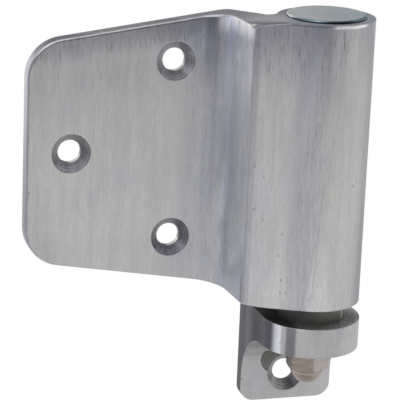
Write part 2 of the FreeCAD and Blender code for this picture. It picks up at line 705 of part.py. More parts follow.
def subtract(name, base, tool):
    """Takes one solid away from another."""
    result = DOCUMENT.addObject("Part::Cut", name)
    result.Base = base
    result.Tool = tool
    return result


def place_cam(cam, label):
    """Names a finished cam and sets it on the pin axis."""
    cam.Label = label
    cam.setExpression("Placement.Base.y", "-dim.pin_offset")
    DOCUMENT.recompute()


LOBES = (0, 180)


def make_lower_cam():
    """Moulds the cam on the lug: two helical ramps with a landing at the top of each, and a key below."""
    ring = cylinder("lower_ring", "dim.cam_diameter / 2", CREST)
    key_height = "2 * dim.key_depth"
    key_bar = block_at("lower_key_bar", "dim.key_length", "dim.key_width", key_height, "-dim.key_depth")
    above = f"{CAM_RISE} + {CUT_MARGIN}"
    waste = [ramp_block(f"lower_ramp_{turn}", "dim.cam_base", above, turn) for turn in LOBES]
    bore = cylinder("lower_bore", PIN_HOLE_RADIUS, f"{CREST} + dim.key_depth + 2 * {CUT_MARGIN}",
                    f"-dim.key_depth - {CUT_MARGIN}")
    blank = fuse("lower_blank", ring, key_bar)
    cam = subtract("lower_cam", blank, fuse("lower_waste", bore, *waste))
    place_cam(cam, "lower_cam")


def make_upper_cam():
    """Moulds the follower in the barrel: the lower cam's counterpart, with two ribs for the keyways."""
    bottom = "(dim.cam_base + dim.cam_gap)"
    outside = "(dim.cam_bore / 2 - dim.running_clearance)"
    ring = cylinder("upper_ring", outside, f"{FOLLOWER_TOP} - {bottom}", bottom)
    rib_foot = f"{CREST} + dim.cam_gap"
    ribs = block_at("upper_ribs", f"2 * {RIB_REACH}", "dim.rib_width", "dim.follower_web", rib_foot)
    waste = []
    for turn in LOBES:
        drop = f"-({CAM_RISE} + {CUT_MARGIN})"
        waste.append(ramp_block(f"upper_ramp_{turn}", bottom, drop, turn))
        angle = "180 - dim.ramp_angle + dim.step_clearance"
        landing = cylinder(f"upper_landing_{turn}", f"{outside} + {CUT_MARGIN}", f"{CAM_RISE} + {CUT_MARGIN}",
                           f"{bottom} - {CUT_MARGIN}", angle, turn + size("dim.ramp_angle"))
        waste.append(landing)
    bore = cylinder("upper_bore", PIN_HOLE_RADIUS, f"{FOLLOWER_TOP} + {CUT_MARGIN}")
    blank = fuse("upper_blank", ring, ribs)
    cam = subtract("upper_cam", blank, fuse("upper_waste", bore, *waste))
    place_cam(cam, "upper_cam")


def check_document():
    """Stops if any object failed to compute."""
    for item in DOCUMENT.Objects:
        if "Invalid" in item.State or "Error" in item.State:
            raise RuntimeError(f"{item.Label} failed: {item.State}")


def write_parts():
    """Checks every sub-part's solid and writes it under its own name."""
    sub_parts = [item for item in DOCUMENT.Objects if item.Label in NODES]
    for item in sub_parts:
        if item.Shape.isNull() or not item.Shape.isValid():
            raise RuntimeError(f"{item.Label} has no valid shape")
    os.makedirs("parts", exist_ok=True)
    for item in sub_parts:
        item.Shape.exportStep(f"parts/{item.Label}.step")
        print(item.Label, len(item.Shape.Solids), round(item.Shape.Volume, 1))


NODES = (
    "door_strap", "barrel_plug", "jamb_bracket", "hinge_pin", "cap_nut",
    "lower_cam", "upper_cam", "upper_bush", "retaining_washer", "retaining_nut",
)

make_door_strap()
make_jamb_bracket()
make_hinge_pin()
make_cap_nut()
make_retaining_nut()
make_retaining_washer()
make_upper_bush()
make_barrel_plug()
make_lower_cam()
make_upper_cam()
DOCUMENT.recompute()
check_document()
write_parts()
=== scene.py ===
"""Looks of the cam lift hinge: finishes for its solids, a soft studio and the photograph's camera."""

import json
import logging
import math
from dataclasses import dataclass
from enum import Enum
from itertools import cycle
from typing import Any, Dict, Iterable, Optional, Sequence, Tuple

import bpy
from bpy.types import Material, Node, NodeSocket, NodeTree, Object
from mathutils import Matrix, Quaternion, Vector


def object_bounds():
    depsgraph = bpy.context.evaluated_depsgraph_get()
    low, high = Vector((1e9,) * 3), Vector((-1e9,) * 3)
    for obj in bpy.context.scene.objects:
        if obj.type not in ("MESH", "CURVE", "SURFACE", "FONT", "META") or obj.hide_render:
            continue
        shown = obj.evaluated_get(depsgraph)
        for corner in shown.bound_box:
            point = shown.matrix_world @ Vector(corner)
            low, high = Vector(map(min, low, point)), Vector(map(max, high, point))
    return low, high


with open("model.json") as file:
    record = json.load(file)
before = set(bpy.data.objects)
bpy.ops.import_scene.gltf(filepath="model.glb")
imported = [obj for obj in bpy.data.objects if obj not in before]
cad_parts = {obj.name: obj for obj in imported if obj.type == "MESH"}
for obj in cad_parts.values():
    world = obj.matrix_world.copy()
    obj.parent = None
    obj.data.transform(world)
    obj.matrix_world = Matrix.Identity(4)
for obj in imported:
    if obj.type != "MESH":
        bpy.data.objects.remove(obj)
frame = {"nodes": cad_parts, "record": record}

CAD_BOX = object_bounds()
LOG = logging.getLogger("cam_lift_hinge")

Colour = Tuple[float, float, float]
Point = Tuple[float, float, float]
Pixel = Tuple[float, float]

MM_PER_M = 1000.0
PHOTO_PIXELS = 400
# Depth in millimetres past which a face counts as part of a hole
FACE_LIP = 0.05
# Width in millimetres by which a bore's mask is larger than the bore
BORE_MARGIN = 0.08
# Dark upright brush strokes and grit that some zones have
STROKE_STRETCH = (2.2, 2.2, 0.18)
STROKE_AMOUNT = 0.75
STROKE_LIGHT = 0.45
GRIT_SIZE = 0.5
WHITE: Colour = (1.0, 1.0, 1.0)

# Directions of the hinge's frame, and how the leaf's top edge and the barrel's right side are turned
X: Point = (1.0, 0.0, 0.0)
Y: Point = (0.0, 1.0, 0.0)
UP: Point = (0.0, 0.0, 1.0)
LEFT: Point = (-1.0, 0.0, 0.0)
FRONT: Point = (0.0, -1.0, 0.0)
TAPER: Point = (-0.144, 0.0, 1.0)
RIGHT_SIDE: Point = (0.957, -0.288, 0.0)


class Socket(Enum):
    """Kinds of socket that the shader node groups use."""

    NUMBER = "NodeSocketFloat"
    VECTOR = "NodeSocketVector"


class Effect(Enum):
    """Shader node groups that the finishes share."""

    BRUSH = "brush_marks"
    ZONE = "soft_zone"
    FACING = "faces_turned"
    MOTTLE = "casting_mottle"
    WEAR_AND_HIGHLIGHT = "edge_wear"
    CREVICE_SHADE = "crevice_dirt"
    PIT = "casting_pit"
    SINK = "countersink_turning"
    SCRATCH = "fine_scratches"


class NodeBench:
    """Adds and joins the nodes of one node tree."""

    def __init__(self, tree: NodeTree) -> None:
        """Starts on a tree.

        Args:
            tree: Node tree of a material, a world or a group.
        """
        self.tree = tree

    def add(self, kind: str, inputs: Optional[Dict[Any, Any]] = None, **settings: Any) -> Node:
        """Adds a node and fills its inputs.

        Args:
            kind: Blender's node type, without the leading ShaderNode.
            inputs: Value or output socket for each named or numbered input.
            settings: Properties of the node itself.

        Returns:
            The new node.
        """
        node = self.tree.nodes.new("ShaderNode" + kind)
        for name, setting in settings.items():
            setattr(node, name, setting)
        for name, content in (inputs or {}).items():
            self.feed(node.inputs[name], content)
        return node

    def feed(self, socket: NodeSocket, content: Any) -> None:
        """Links an output to a socket, or sets the socket's own value.

        Args:
            socket: Input socket.
            content: Output socket to link, or a plain value.
        """
        if isinstance(content, NodeSocket):
            self.tree.links.new(content, socket)
        elif socket.type == "RGBA" and len(content) == 3:
            socket.default_value = (*content, 1.0)
        else:
            socket.default_value = content

    def math(self, operation: str, *values: Any, clamp: bool = False) -> NodeSocket:
        """Adds a Math node.

        Args:
            operation: Blender's name of the operation.
            values: Number or socket for each input.
            clamp: Whether the result stays between 0 and 1.

        Returns:
            The result socket.
        """
        inputs = dict(enumerate(values))
        return self.add("Math", inputs, operation=operation, use_clamp=clamp).outputs[0]

    def vector(self, operation: str, *vectors: Any) -> NodeSocket:
        """Adds a Vector Math node.

        Args:
            operation: Blender's name of the operation.
            vectors: Vector or socket for each input.

        Returns:
            The result socket, a number for a dot product or a length.
        """
        node = self.add("VectorMath", dict(enumerate(vectors)), operation=operation)
        return node.outputs["Value" if operation in ("DOT_PRODUCT", "LENGTH") else "Vector"]

    def spread(self, value: Any, low: Any, high: Any, out_low: float = 0.0,
               out_high: float = 1.0) -> NodeSocket:
        """Maps a range of values smoothly to another one.

        Args:
            value: Socket with the value.
            low: Value or socket that gives out_low.
            high: Value or socket that gives out_high.
            out_low: Result at low.
            out_high: Result at high.

        Returns:
            The result socket.
        """
        inputs = {"Value": value, "From Min": low, "From Max": high, "To Min": out_low, "To Max": out_high}
        return self.add("MapRange", inputs, interpolation_type="SMOOTHSTEP").outputs["Result"]

    def mix(self, share: Any, first: Any, second: Any, blend: str = "MIX") -> NodeSocket:
        """Mixes two colours.

        Args:
            share: Share of the second colour.
            first: First colour or socket.
            second: Second colour or socket.
            blend: Blender's blend mode.

        Returns:
            The mixed colour.
        """
        inputs = {0: share, 6: first, 7: second}
        return self.add("Mix", inputs, data_type="RGBA", blend_type=blend, clamp_result=False).outputs[2]

    def tint(self, mask: NodeSocket, share: float, colour: Any, tint: Any) -> NodeSocket:
        """Covers a colour with another one where a mask is on.

        Args:
            mask: Mask socket.
            share: Share of the tint at the mask's full strength.
            colour: Colour so far.
            tint: Colour that covers it.

        Returns:
            The mixed colour.
        """
        return self.mix(self.math("MULTIPLY", mask, share), colour, tint)

    def group(self, effect: Effect, **inputs: Any) -> Any:
        """Places a shared effect.

        Args:
            effect: The effect, whose group is built already.
            inputs: Value or socket for each of its inputs, with spaces in a name as underscores.

        Returns:
            The group's outputs, by name.
        """
        node = self.add("Group", node_tree=bpy.data.node_groups[effect.value])
        for name, content in inputs.items():
            self.feed(node.inputs[name.replace("_", " ")], content)
        return node.outputs

    def place_mm(self) -> NodeSocket:
        """Gives the place on the piece.

        Returns:
            The place in millimetres of the hinge's frame.
        """
        coordinates = self.add("TexCoord").outputs["Object"]
        return self.vector("MULTIPLY", coordinates, (MM_PER_M,) * 3)


class EffectGroup:
    """The node group of an effect, which is built once."""

    def __init__(self, effect: Effect, inputs: Dict[str, Any], outputs: Sequence[str] = ("Mask",)) -> None:
        """Makes the group's sockets.

        Args:
            effect: The effect.
            inputs: First value of each input, a number or a vector.
            outputs: Name of each output, all of them numbers.
        """
        self.tree = bpy.data.node_groups.new(effect.value, "ShaderNodeTree")
        for label, value in inputs.items():
            kind = Socket.VECTOR if isinstance(value, tuple) else Socket.NUMBER
            socket = self.tree.interface.new_socket(name=label, in_out="INPUT", socket_type=kind.value)
            socket.default_value = value
        for label in outputs:
            self.tree.interface.new_socket(name=label, in_out="OUTPUT", socket_type=Socket.NUMBER.value)
        self.bench = NodeBench(self.tree)
        self.given = self.tree.nodes.new("NodeGroupInput").outputs
        self.result = self.tree.nodes.new("NodeGroupOutput").inputs

    def put(self, **results: NodeSocket) -> None:
        """Feeds the group's outputs.

        Args:
            results: Socket for each output.
        """
        for name, socket in results.items():
            self.bench.feed(self.result[name], socket)


def make_brush_group() -> None:
    """Builds the brush marks: fine and medium streaks, and slow bands, all long in one direction.

    It gives a streak and a band value about 0.5 and the height of the marks.
    """
    effect = EffectGroup(Effect.BRUSH, {
        "Fine": (3.0, 3.0, 0.3),
        "Medium": (1.2, 1.2, 0.1),
        "Coarse": (0.3, 0.3, 0.02),
    }, ["Streak", "Band", "Height"])
    bench = effect.bench
    place = bench.place_mm()
    layers = {}
    for name in ("Fine", "Medium", "Coarse"):
        stretched = bench.vector("MULTIPLY", place, effect.given[name])
        noise = bench.add("TexNoise", {"Vector": stretched, "Scale": 1.0, "Detail": 3.0, "Roughness": 0.65})
        layers[name] = noise.outputs["Fac"]
    both = bench.math("MULTIPLY", bench.math("ADD", layers["Fine"], layers["Medium"]), 0.5)
    streak = bench.spread(both, 0.34, 0.66)
    effect.put(Streak=streak, Band=bench.spread(layers["Coarse"], 0.28, 0.72), Height=both)


def make_zone_group() -> None:
    """Builds a soft band across a piece, whose edges can follow the brush marks.

    It gives a mask that is 1 inside the band.
    """
    effect = EffectGroup(Effect.ZONE, {
        "Direction": UP,
        "Low": 0.0,
        "High": 10.0,
        "Fade": 4.0,
        "Streak": 0.5,
        "Ragged": 0.0,
    })
    bench = effect.bench
    along = bench.vector("DOT_PRODUCT", bench.place_mm(), effect.given["Direction"])
    offset = bench.math("SUBTRACT", effect.given["Streak"], 0.5)
    along = bench.math("ADD", along, bench.math("MULTIPLY", offset, effect.given["Ragged"]))
    low, high, fade = (effect.given[name] for name in ("Low", "High", "Fade"))
    rise = bench.spread(along, low, bench.math("ADD", low, fade))
    fall = bench.spread(along, high, bench.math("SUBTRACT", high, fade))
    effect.put(Mask=bench.math("MULTIPLY", rise, fall))


def make_facing_group() -> None:
    """Builds a mask of the faces that are turned one way on the piece.

    It gives a mask that is 1 on faces square to the direction.
    """
    effect = EffectGroup(Effect.FACING, {"Direction": UP, "Start": 0.72, "Full": 0.94})
    bench = effect.bench
    normal = bench.add("TexCoord").outputs["Normal"]
    share = bench.vector("DOT_PRODUCT", normal, effect.given["Direction"])
    effect.put(Mask=bench.spread(share, effect.given["Start"], effect.given["Full"]))


def make_mottle_group() -> None:
    """Builds the cloudy unevenness of a cast or plated surface.

    It gives a slow cloud and a fine grain value, both about 0.5.
    """
    effect = EffectGroup(Effect.MOTTLE, {"Cloud Size": 14.0, "Grain Size": 0.6}, ["Cloud", "Grain"])
    bench = effect.bench
    place = bench.place_mm()
    results = {}
    for name, detail in (("Cloud", 4.0), ("Grain", 2.0)):
        scale = bench.math("DIVIDE", 1.0, effect.given[name + " Size"])
        noise = bench.add("TexNoise", {"Vector": place, "Scale": scale, "Detail": detail, "Roughness": 0.55})
        results[name] = noise.outputs["Fac"]
    effect.put(**results)


def make_edge_wear_and_highlight_group() -> None:
    """Builds a mask of the edges, where handling rubs the surface bright and a painted highlight brightens
    them.

    It gives a mask that is 1 on an edge and 0 on a flat.
    """
    effect = EffectGroup(Effect.WEAR_AND_HIGHLIGHT, {"Reach": 0.0006, "Gain": 3.0})
    bench = effect.bench
    rounded = bench.add("Bevel", {"Radius": effect.given["Reach"]}, samples=6).outputs["Normal"]
    plain = bench.add("NewGeometry").outputs["Normal"]
    likeness = bench.vector("DOT_PRODUCT", rounded, plain)
    turned = bench.math("SUBTRACT", 1.0, likeness)
    effect.put(Mask=bench.math("MULTIPLY", turned, effect.given["Gain"], clamp=True))


def make_crevice_shade_group() -> None:
    """Builds a mask of the places where two surfaces nearly meet, which painted shade darkens.

    It gives a mask that is 1 deep in a crevice.
    """
    effect = EffectGroup(Effect.CREVICE_SHADE, {"Reach": 0.0015})
    bench = effect.bench
    openness = bench.add("AmbientOcclusion", {"Distance": effect.given["Reach"]}, samples=8).outputs["AO"]
    effect.put(Mask=bench.spread(openness, 0.8, 0.2))


def make_pit_group() -> None:
    """Builds one casting pit: a small dark hollow about a point of the surface.

    It gives a mask that is 1 at the pit's middle.
    """
    effect = EffectGroup(Effect.PIT, {"Centre": (0.0, 0.0, 0.0), "Radius": 0.4, "Length": 1.6})
    bench = effect.bench
    apart = bench.vector("SUBTRACT", bench.place_mm(), effect.given["Centre"])
    squeeze = bench.add("CombineXYZ", {0: 1.0, 1: 1.0, 2: bench.math("DIVIDE", 1.0, effect.given["Length"])})
    distance = bench.vector("MULTIPLY", apart, squeeze.outputs[0])
    length = bench.vector("LENGTH", distance)
    share = bench.math("DIVIDE", length, effect.given["Radius"])
    effect.put(Mask=bench.spread(share, 1.0, 0.35))


def make_sink_group() -> None:
    """Builds the turned look of one countersunk hole: its cone and the tool's rings.

    It gives masks of the cone with the bore and of the bore, and a ring value about 0.5.
    """
    effect = EffectGroup(Effect.SINK, {
        "Centre": (0.0, 0.0, 0.0),
        "Radius": 6.1,
        "Bore": 3.6,
        "Front": -4.0,
        "Ring Pitch": 0.35,
    }, ["Mask", "Bore", "Ring"])
    bench = effect.bench
    place = bench.place_mm()
    apart = bench.vector("SUBTRACT", place, effect.given["Centre"])
    flat = bench.vector("MULTIPLY", apart, (1.0, 0.0, 1.0))
    distance = bench.vector("LENGTH", flat)
    inside = bench.math("LESS_THAN", distance, effect.given["Radius"])
    level = bench.add("SeparateXYZ", {0: place}).outputs["Y"]
    sunk = bench.math("GREATER_THAN", bench.math("SUBTRACT", level, effect.given["Front"]), FACE_LIP)
    before_back = bench.math("LESS_THAN", level, -FACE_LIP)
    within = bench.math("MULTIPLY", sunk, before_back)
    mask = bench.math("MULTIPLY", inside, within)
    drilled = bench.math("LESS_THAN", distance, bench.math("ADD", effect.given["Bore"], BORE_MARGIN))
    turns = bench.math("DIVIDE", distance, effect.given["Ring Pitch"])
    noise = bench.add("TexNoise", {"W": turns, "Scale": 1.0, "Detail": 1.0}, noise_dimensions="1D")
    effect.put(Mask=mask, Bore=drilled, Ring=noise.outputs["Fac"])


def make_scratch_group() -> None:
    """Builds sparse thin scratches and rubbed patches.

    It gives a mask that is 1 in a scratch.
    """
    effect = EffectGroup(Effect.SCRATCH, {"Stretch": (0.25, 0.25, 2.2), "Amount": 0.5})
    bench = effect.bench
    warped = bench.vector("MULTIPLY", bench.place_mm(), effect.given["Stretch"])
    noise = bench.add("TexNoise", {"Vector": warped, "Scale": 1.0, "Detail": 5.0, "Roughness": 0.7})
    edge = bench.math("SUBTRACT", 0.72, bench.math("MULTIPLY", effect.given["Amount"], 0.22))
    over = bench.math("SUBTRACT", noise.outputs["Fac"], edge)
    effect.put(Mask=bench.math("MULTIPLY", over, 9.0, clamp=True))


def make_effects() -> None:
    """Builds every shared effect once."""
    make_brush_group()
    make_mottle_group()
    make_edge_wear_and_highlight_group()
    make_crevice_shade_group()
    make_pit_group()
    make_sink_group()
    make_scratch_group()
    make_zone_group()
    make_facing_group()


@dataclass(frozen=True)
class ScrewSink:
    """A countersunk screw hole, for the turned look of its cone."""

    centre: Point
    radius: float
    bore: float
    front: float


@dataclass(frozen=True)
class RecessShade:
    """A round patch of painted shade beside a screw hole, where the hollow by the hole stands in shade."""

    centre: Point
    radius: float
    front: float


@dataclass(frozen=True)
class Pit:
    """A casting pit at a place on the surface."""

    centre: Point
    radius: float
    length: float = 1.6

    def mask(self, bench: NodeBench) -> NodeSocket:
        """Masks the pit.

        Args:
            bench: Bench of the material.

        Returns:
            The mask socket.
        """
        return bench.group(Effect.PIT, Centre=self.centre, Radius=self.radius, Length=self.length)["Mask"]


@dataclass(frozen=True)
class Zone:
    """Part of a piece whose colour is tinted, mostly with painted light and shade: a band across it, on
    faces turned one way.

    The band's low and high ends, its fade and its ragged edge are in millimetres along the direction.
    """

    tint: Colour
    direction: Point = UP
    low: float = -500.0
    high: float = 500.0
    fade: float = 4.0
    ragged: float = 0.0
    facing: Optional[Point] = None
    turn: Tuple[float, float] = (0.72, 0.94)
    extra_roughness: float = 0.0
    strokes: float = 0.0
    grit: float = 0.0
    dull: float = 0.0


# Side of a countersink's cone that lies in shade, and the glints in the bracket's cones
CONE_SHADE = Zone((0.55, 0.55, 0.57), facing=(-0.66, -0.66, 0.36), turn=(0.72, 0.96))
CONE_GLINTS = (
    CONE_SHADE,
    Zone((1.9, 1.9, 1.92), facing=(0.35, -0.66, 0.66), turn=(0.88, 0.98)),
    Zone((0.72, 0.72, 0.74), facing=(-0.55, -0.66, 0.5), turn=(0.88, 0.98)),
)


@dataclass(frozen=True)
class Finish:
    """What every finish has: a name, a colour and how rough and metallic it is."""

    name: str
    colour: Colour
    roughness: float
    metallic: float = 1.0
    zones: Tuple[Zone, ...] = ()
    roughness_swing: float = 0.07
    bump_strength: float = 0.25
    bump_mm: float = 0.05

    def start(self) -> Tuple[Material, NodeBench, Node]:
        """Makes an empty material with its shader.

        Returns:
            The material, its bench and its Principled BSDF.
        """
        material = bpy.data.materials.new(self.name)
        material.use_nodes = True
        bench = NodeBench(material.node_tree)
        shader = material.node_tree.nodes["Principled BSDF"]
        shader.inputs["Metallic"].default_value = self.metallic
        return material, bench, shader

    def lit(self, factor: float) -> Colour:
        """Gives the finish's colour, lighter or darker.

        Args:
            factor: What each channel is multiplied by.

        Returns:
            The changed colour.
        """
        red, green, blue = self.colour
        return (red * factor, green * factor, blue * factor)

    def tone(self, bench: NodeBench, colour: NodeSocket, rough: NodeSocket,
             streak: Any = 0.5) -> Tuple[NodeSocket, NodeSocket]:
        """Gives the finish's zones their tint, which is mostly painted light and shade.

        Args:
            bench: Bench of the material.
            colour: Colour so far.
            rough: Roughness so far.
            streak: Brush marks that fray the zones' edges.

        Returns:
            The colour and the roughness with the zones in them.
        """
        for zone in self.zones:
            mask = self.zone_mask(bench, zone, streak)
            colour = bench.mix(mask, colour, zone.tint, "MULTIPLY")
            if zone.extra_roughness:
                rough = bench.math("ADD", rough, bench.math("MULTIPLY", mask, zone.extra_roughness))
            if zone.strokes:
                strokes = bench.group(Effect.SCRATCH, Stretch=STROKE_STRETCH, Amount=STROKE_AMOUNT)
                stroked = bench.math("MULTIPLY", mask, strokes["Mask"])
                colour = bench.tint(stroked, zone.strokes, colour, self.lit(STROKE_LIGHT))
            if zone.grit:
                grain = bench.group(Effect.MOTTLE, Grain_Size=GRIT_SIZE)["Grain"]
                shade = bench.spread(grain, 0.36, 0.64, 1.0 - zone.grit, 1.0 + zone.grit)
                colour = bench.mix(mask, colour, bench.mix(1.0, colour, shade, "MULTIPLY"))
        return colour, rough

    def uneven(self, bench: NodeBench, value: NodeSocket) -> NodeSocket:
        """Lets the roughness swing with a value between 0 and 1.

        Args:
            bench: Bench of the material.
            value: Socket with the value.

        Returns:
            The roughness socket.
        """
        swing = self.roughness_swing
        return bench.math("MULTIPLY_ADD", value, 2 * swing, self.roughness - swing)

    def end(self, bench: NodeBench, shader: Node, colour: NodeSocket, rough: NodeSocket,
            height: NodeSocket, normal: Optional[NodeSocket] = None) -> None:
        """Gives the shader its colour, its roughness and its bumps.

        Args:
            bench: Bench of the material.
            shader: The Principled BSDF.
            colour: Finished colour.
            rough: Finished roughness.
            height: Height of the bumps.
            normal: Normal that the bumps start from, or None for the surface's own.
        """
        deep = self.bump_mm / MM_PER_M
        bump = bench.add("Bump", {"Height": height, "Strength": self.bump_strength, "Distance": deep})
        if normal:
            bench.feed(bump.inputs["Normal"], normal)
        bench.feed(shader.inputs["Base Color"], colour)
        bench.feed(shader.inputs["Roughness"], rough)
        bench.feed(shader.inputs["Normal"], bump.outputs["Normal"])

    @staticmethod
    def zone_mask(bench: NodeBench, zone: Zone, streak: Any) -> NodeSocket:
        """Masks one zone of the piece.

        Args:
            bench: Bench of the material.
            zone: The zone.
            streak: Brush marks that fray the zone's edges.

        Returns:
            The mask socket.
        """
        band = bench.group(Effect.ZONE, Direction=zone.direction, Low=zone.low, High=zone.high,
                           Fade=zone.fade, Streak=streak, Ragged=zone.ragged)
        mask = band["Mask"]
        if zone.facing:
            start, full = zone.turn
            faces = bench.group(Effect.FACING, Direction=zone.facing, Start=start, Full=full)
            mask = bench.math("MULTIPLY", mask, faces["Mask"])
        return mask


@dataclass(frozen=True)
class BrushedCasting(Finish):
    """Cast aluminium brushed in one direction, with pits, edges rubbed bright with wear and a painted
    highlight, turned countersinks and zones of painted light and shade.
    """

    cool: Colour = (0.50, 0.52, 0.58)
    cool_share: float = 0.45
    widths: Tuple[float, float, float] = (0.13, 0.32, 2.6)
    stretches: Tuple[float, float, float] = (18.0, 14.0, 10.0)
    contrast: float = 0.12
    band_contrast: float = 0.05
    roughness_swing: float = 0.06
    bump_strength: float = 0.35
    bump_mm: float = 0.06
    anisotropy: float = 0.45
    edge_radius: float = 0.0005
    edge_share: float = 0.3
    edge_light: float = 1.35
    crevice_shade_share: float = 0.75
    crevice_shade_light: float = 0.18
    pit_share: float = 0.42
    pit_light: float = 0.22
    pit_depth: float = 2.0
    grain_height: float = 0.35
    cone_tones: Tuple[Colour, Colour] = ((0.26, 0.26, 0.28), (0.50, 0.50, 0.53))
    # Painted shade and highlights on the cones by the way their faces turn, and darker cones low on the leaf
    cone_shade_and_highlights: Tuple[Zone, ...] = (
        CONE_SHADE,
        Zone((0.66, 0.66, 0.68), facing=(0.0, -0.66, 0.75), turn=(0.80, 0.97)),
        Zone((1.35, 1.35, 1.38), facing=(0.42, -0.66, 0.62), turn=(0.95, 0.995)),
        Zone((0.70, 0.70, 0.72), high=32.0, fade=8.0),
    )
    cone_grit: float = 0.12
    # Painted shade and a painted highlight in the bore, by the way its wall turns
    bore_tones: Tuple[float, float] = (0.4, 1.5)
    bore_light: Zone = Zone(WHITE, facing=(-0.55, 0.0, 0.84), turn=(0.72, 0.92))
    recess_shade_tone: Colour = (0.108, 0.106, 0.098)

    def build(self, sinks: Iterable[ScrewSink], pits: Iterable[Pit],
              recesses: Iterable[RecessShade] = ()) -> Material:
        """Builds the material.

        Args:
            sinks: Countersunk holes of the piece.
            pits: Casting pits of the piece.
            recesses: Patches of painted shade in the hollows beside the holes.

        Returns:
            The finished material.
        """
        material, bench, shader = self.start()
        sizes = zip(self.widths, self.stretches)
        fine, medium, coarse = ((1 / wide, 1 / wide, 1 / wide / stretch) for wide, stretch in sizes)
        brush = bench.group(Effect.BRUSH, Fine=fine, Medium=medium, Coarse=coarse)
        mottle = bench.group(Effect.MOTTLE, Cloud_Size=17.0, Grain_Size=0.45)
        wear_and_highlight = bench.group(Effect.WEAR_AND_HIGHLIGHT, Reach=0.0006, Gain=2.4)
        streak = brush["Streak"]

        # Metal between a warm and a cool grey, with darker and lighter brush marks
        cooler = bench.spread(mottle["Cloud"], 0.45, 0.75, 0.0, self.cool_share)
        metal = bench.mix(cooler, self.colour, self.cool)
        shade = bench.spread(streak, 0.0, 1.0, 1.0 - self.contrast, 1.0 + self.contrast)
        band_low, band_high = 1.0 - self.band_contrast, 1.0 + self.band_contrast
        band = bench.spread(brush["Band"], 0.0, 1.0, band_low, band_high)
        colour = bench.mix(1.0, metal, bench.math("MULTIPLY", shade, band), "MULTIPLY")
        smoother, rougher = self.roughness - self.roughness_swing, self.roughness + self.roughness_swing
        rough = bench.spread(streak, 0.0, 1.0, smoother, rougher)
        grain = mottle["Grain"]
        height = bench.math("MULTIPLY_ADD", grain, self.grain_height, brush["Height"])

        # Zones tinted darker, lighter or cooler, mostly as painted light and shade, some with brush strokes
        # and grit
        colour, rough = self.tone(bench, colour, rough, streak)

        # Edges are rubbed bright with wear and a painted highlight, and crevices get painted shade
        crevice_shade_mask = bench.group(Effect.CREVICE_SHADE)["Mask"]
        colour = bench.tint(wear_and_highlight["Mask"], self.edge_share, colour, self.lit(self.edge_light))
        colour = bench.tint(crevice_shade_mask, self.crevice_shade_share, colour, self.lit(self.crevice_shade_light))

        # Painted shade in the hollows beside the holes, uneven with the grain
        for recess in recesses:
            recess_shade_mask = bench.group(Effect.SINK, Centre=recess.centre, Radius=recess.radius, Front=recess.front)
            shade_unevenness = bench.spread(grain, 0.3, 0.7, 0.75, 1.0)
            share = bench.math("MULTIPLY", recess_shade_mask["Mask"], shade_unevenness)
            colour = bench.mix(share, colour, self.recess_shade_tone)

        # Countersinks are turned, so their cones are ringed instead of brushed; their darker tone is partly
        # the turned finish and partly painted shade, the cones get painted shade and highlights by the way
        # their faces turn, and the bores get painted shade with a painted highlight
        coarse_grain = bench.group(Effect.MOTTLE, Grain_Size=0.7)["Grain"]
        grit = bench.spread(coarse_grain, 0.35, 0.65, 1.0 - self.cone_grit, 1.0 + self.cone_grit)
        shaded, lighted = (self.lit(tone) for tone in self.bore_tones)
        bore = bench.mix(self.zone_mask(bench, self.bore_light, streak), shaded, lighted)
        for sink in sinks:
            turned = bench.group(Effect.SINK, Centre=sink.centre, Radius=sink.radius, Bore=sink.bore,
                                 Front=sink.front)
            cone = bench.mix(1.0, bench.mix(turned["Ring"], *self.cone_tones), grit, "MULTIPLY")
            for zone in self.cone_shade_and_highlights:
                cone = bench.mix(self.zone_mask(bench, zone, streak), cone, zone.tint, "MULTIPLY")
            colour = bench.mix(turned["Mask"], colour, bench.mix(turned["Bore"], cone, bore))

        # Pits are dark hollows
        for pit in pits:
            hollow = pit.mask(bench)
            colour = bench.tint(hollow, self.pit_share, colour, self.lit(self.pit_light))
            height = bench.math("SUBTRACT", height, bench.math("MULTIPLY", hollow, self.pit_depth))

        soft_edge = bench.add("Bevel", {"Radius": self.edge_radius}, samples=4).outputs["Normal"]
        metallic = self.metallic
        for zone in self.zones:
            if zone.dull:
                less = bench.math("MULTIPLY", self.zone_mask(bench, zone, streak), zone.dull)
                metallic = bench.math("SUBTRACT", metallic, less, clamp=True)
        bench.feed(shader.inputs["Metallic"], metallic)
        self.end(bench, shader, colour, rough, height, soft_edge)
        shader.inputs["Anisotropic"].default_value = self.anisotropy
        tangent = bench.add("Tangent", direction_type="RADIAL", axis="Z")
        bench.feed(shader.inputs["Tangent"], tangent.outputs["Tangent"])
        return material


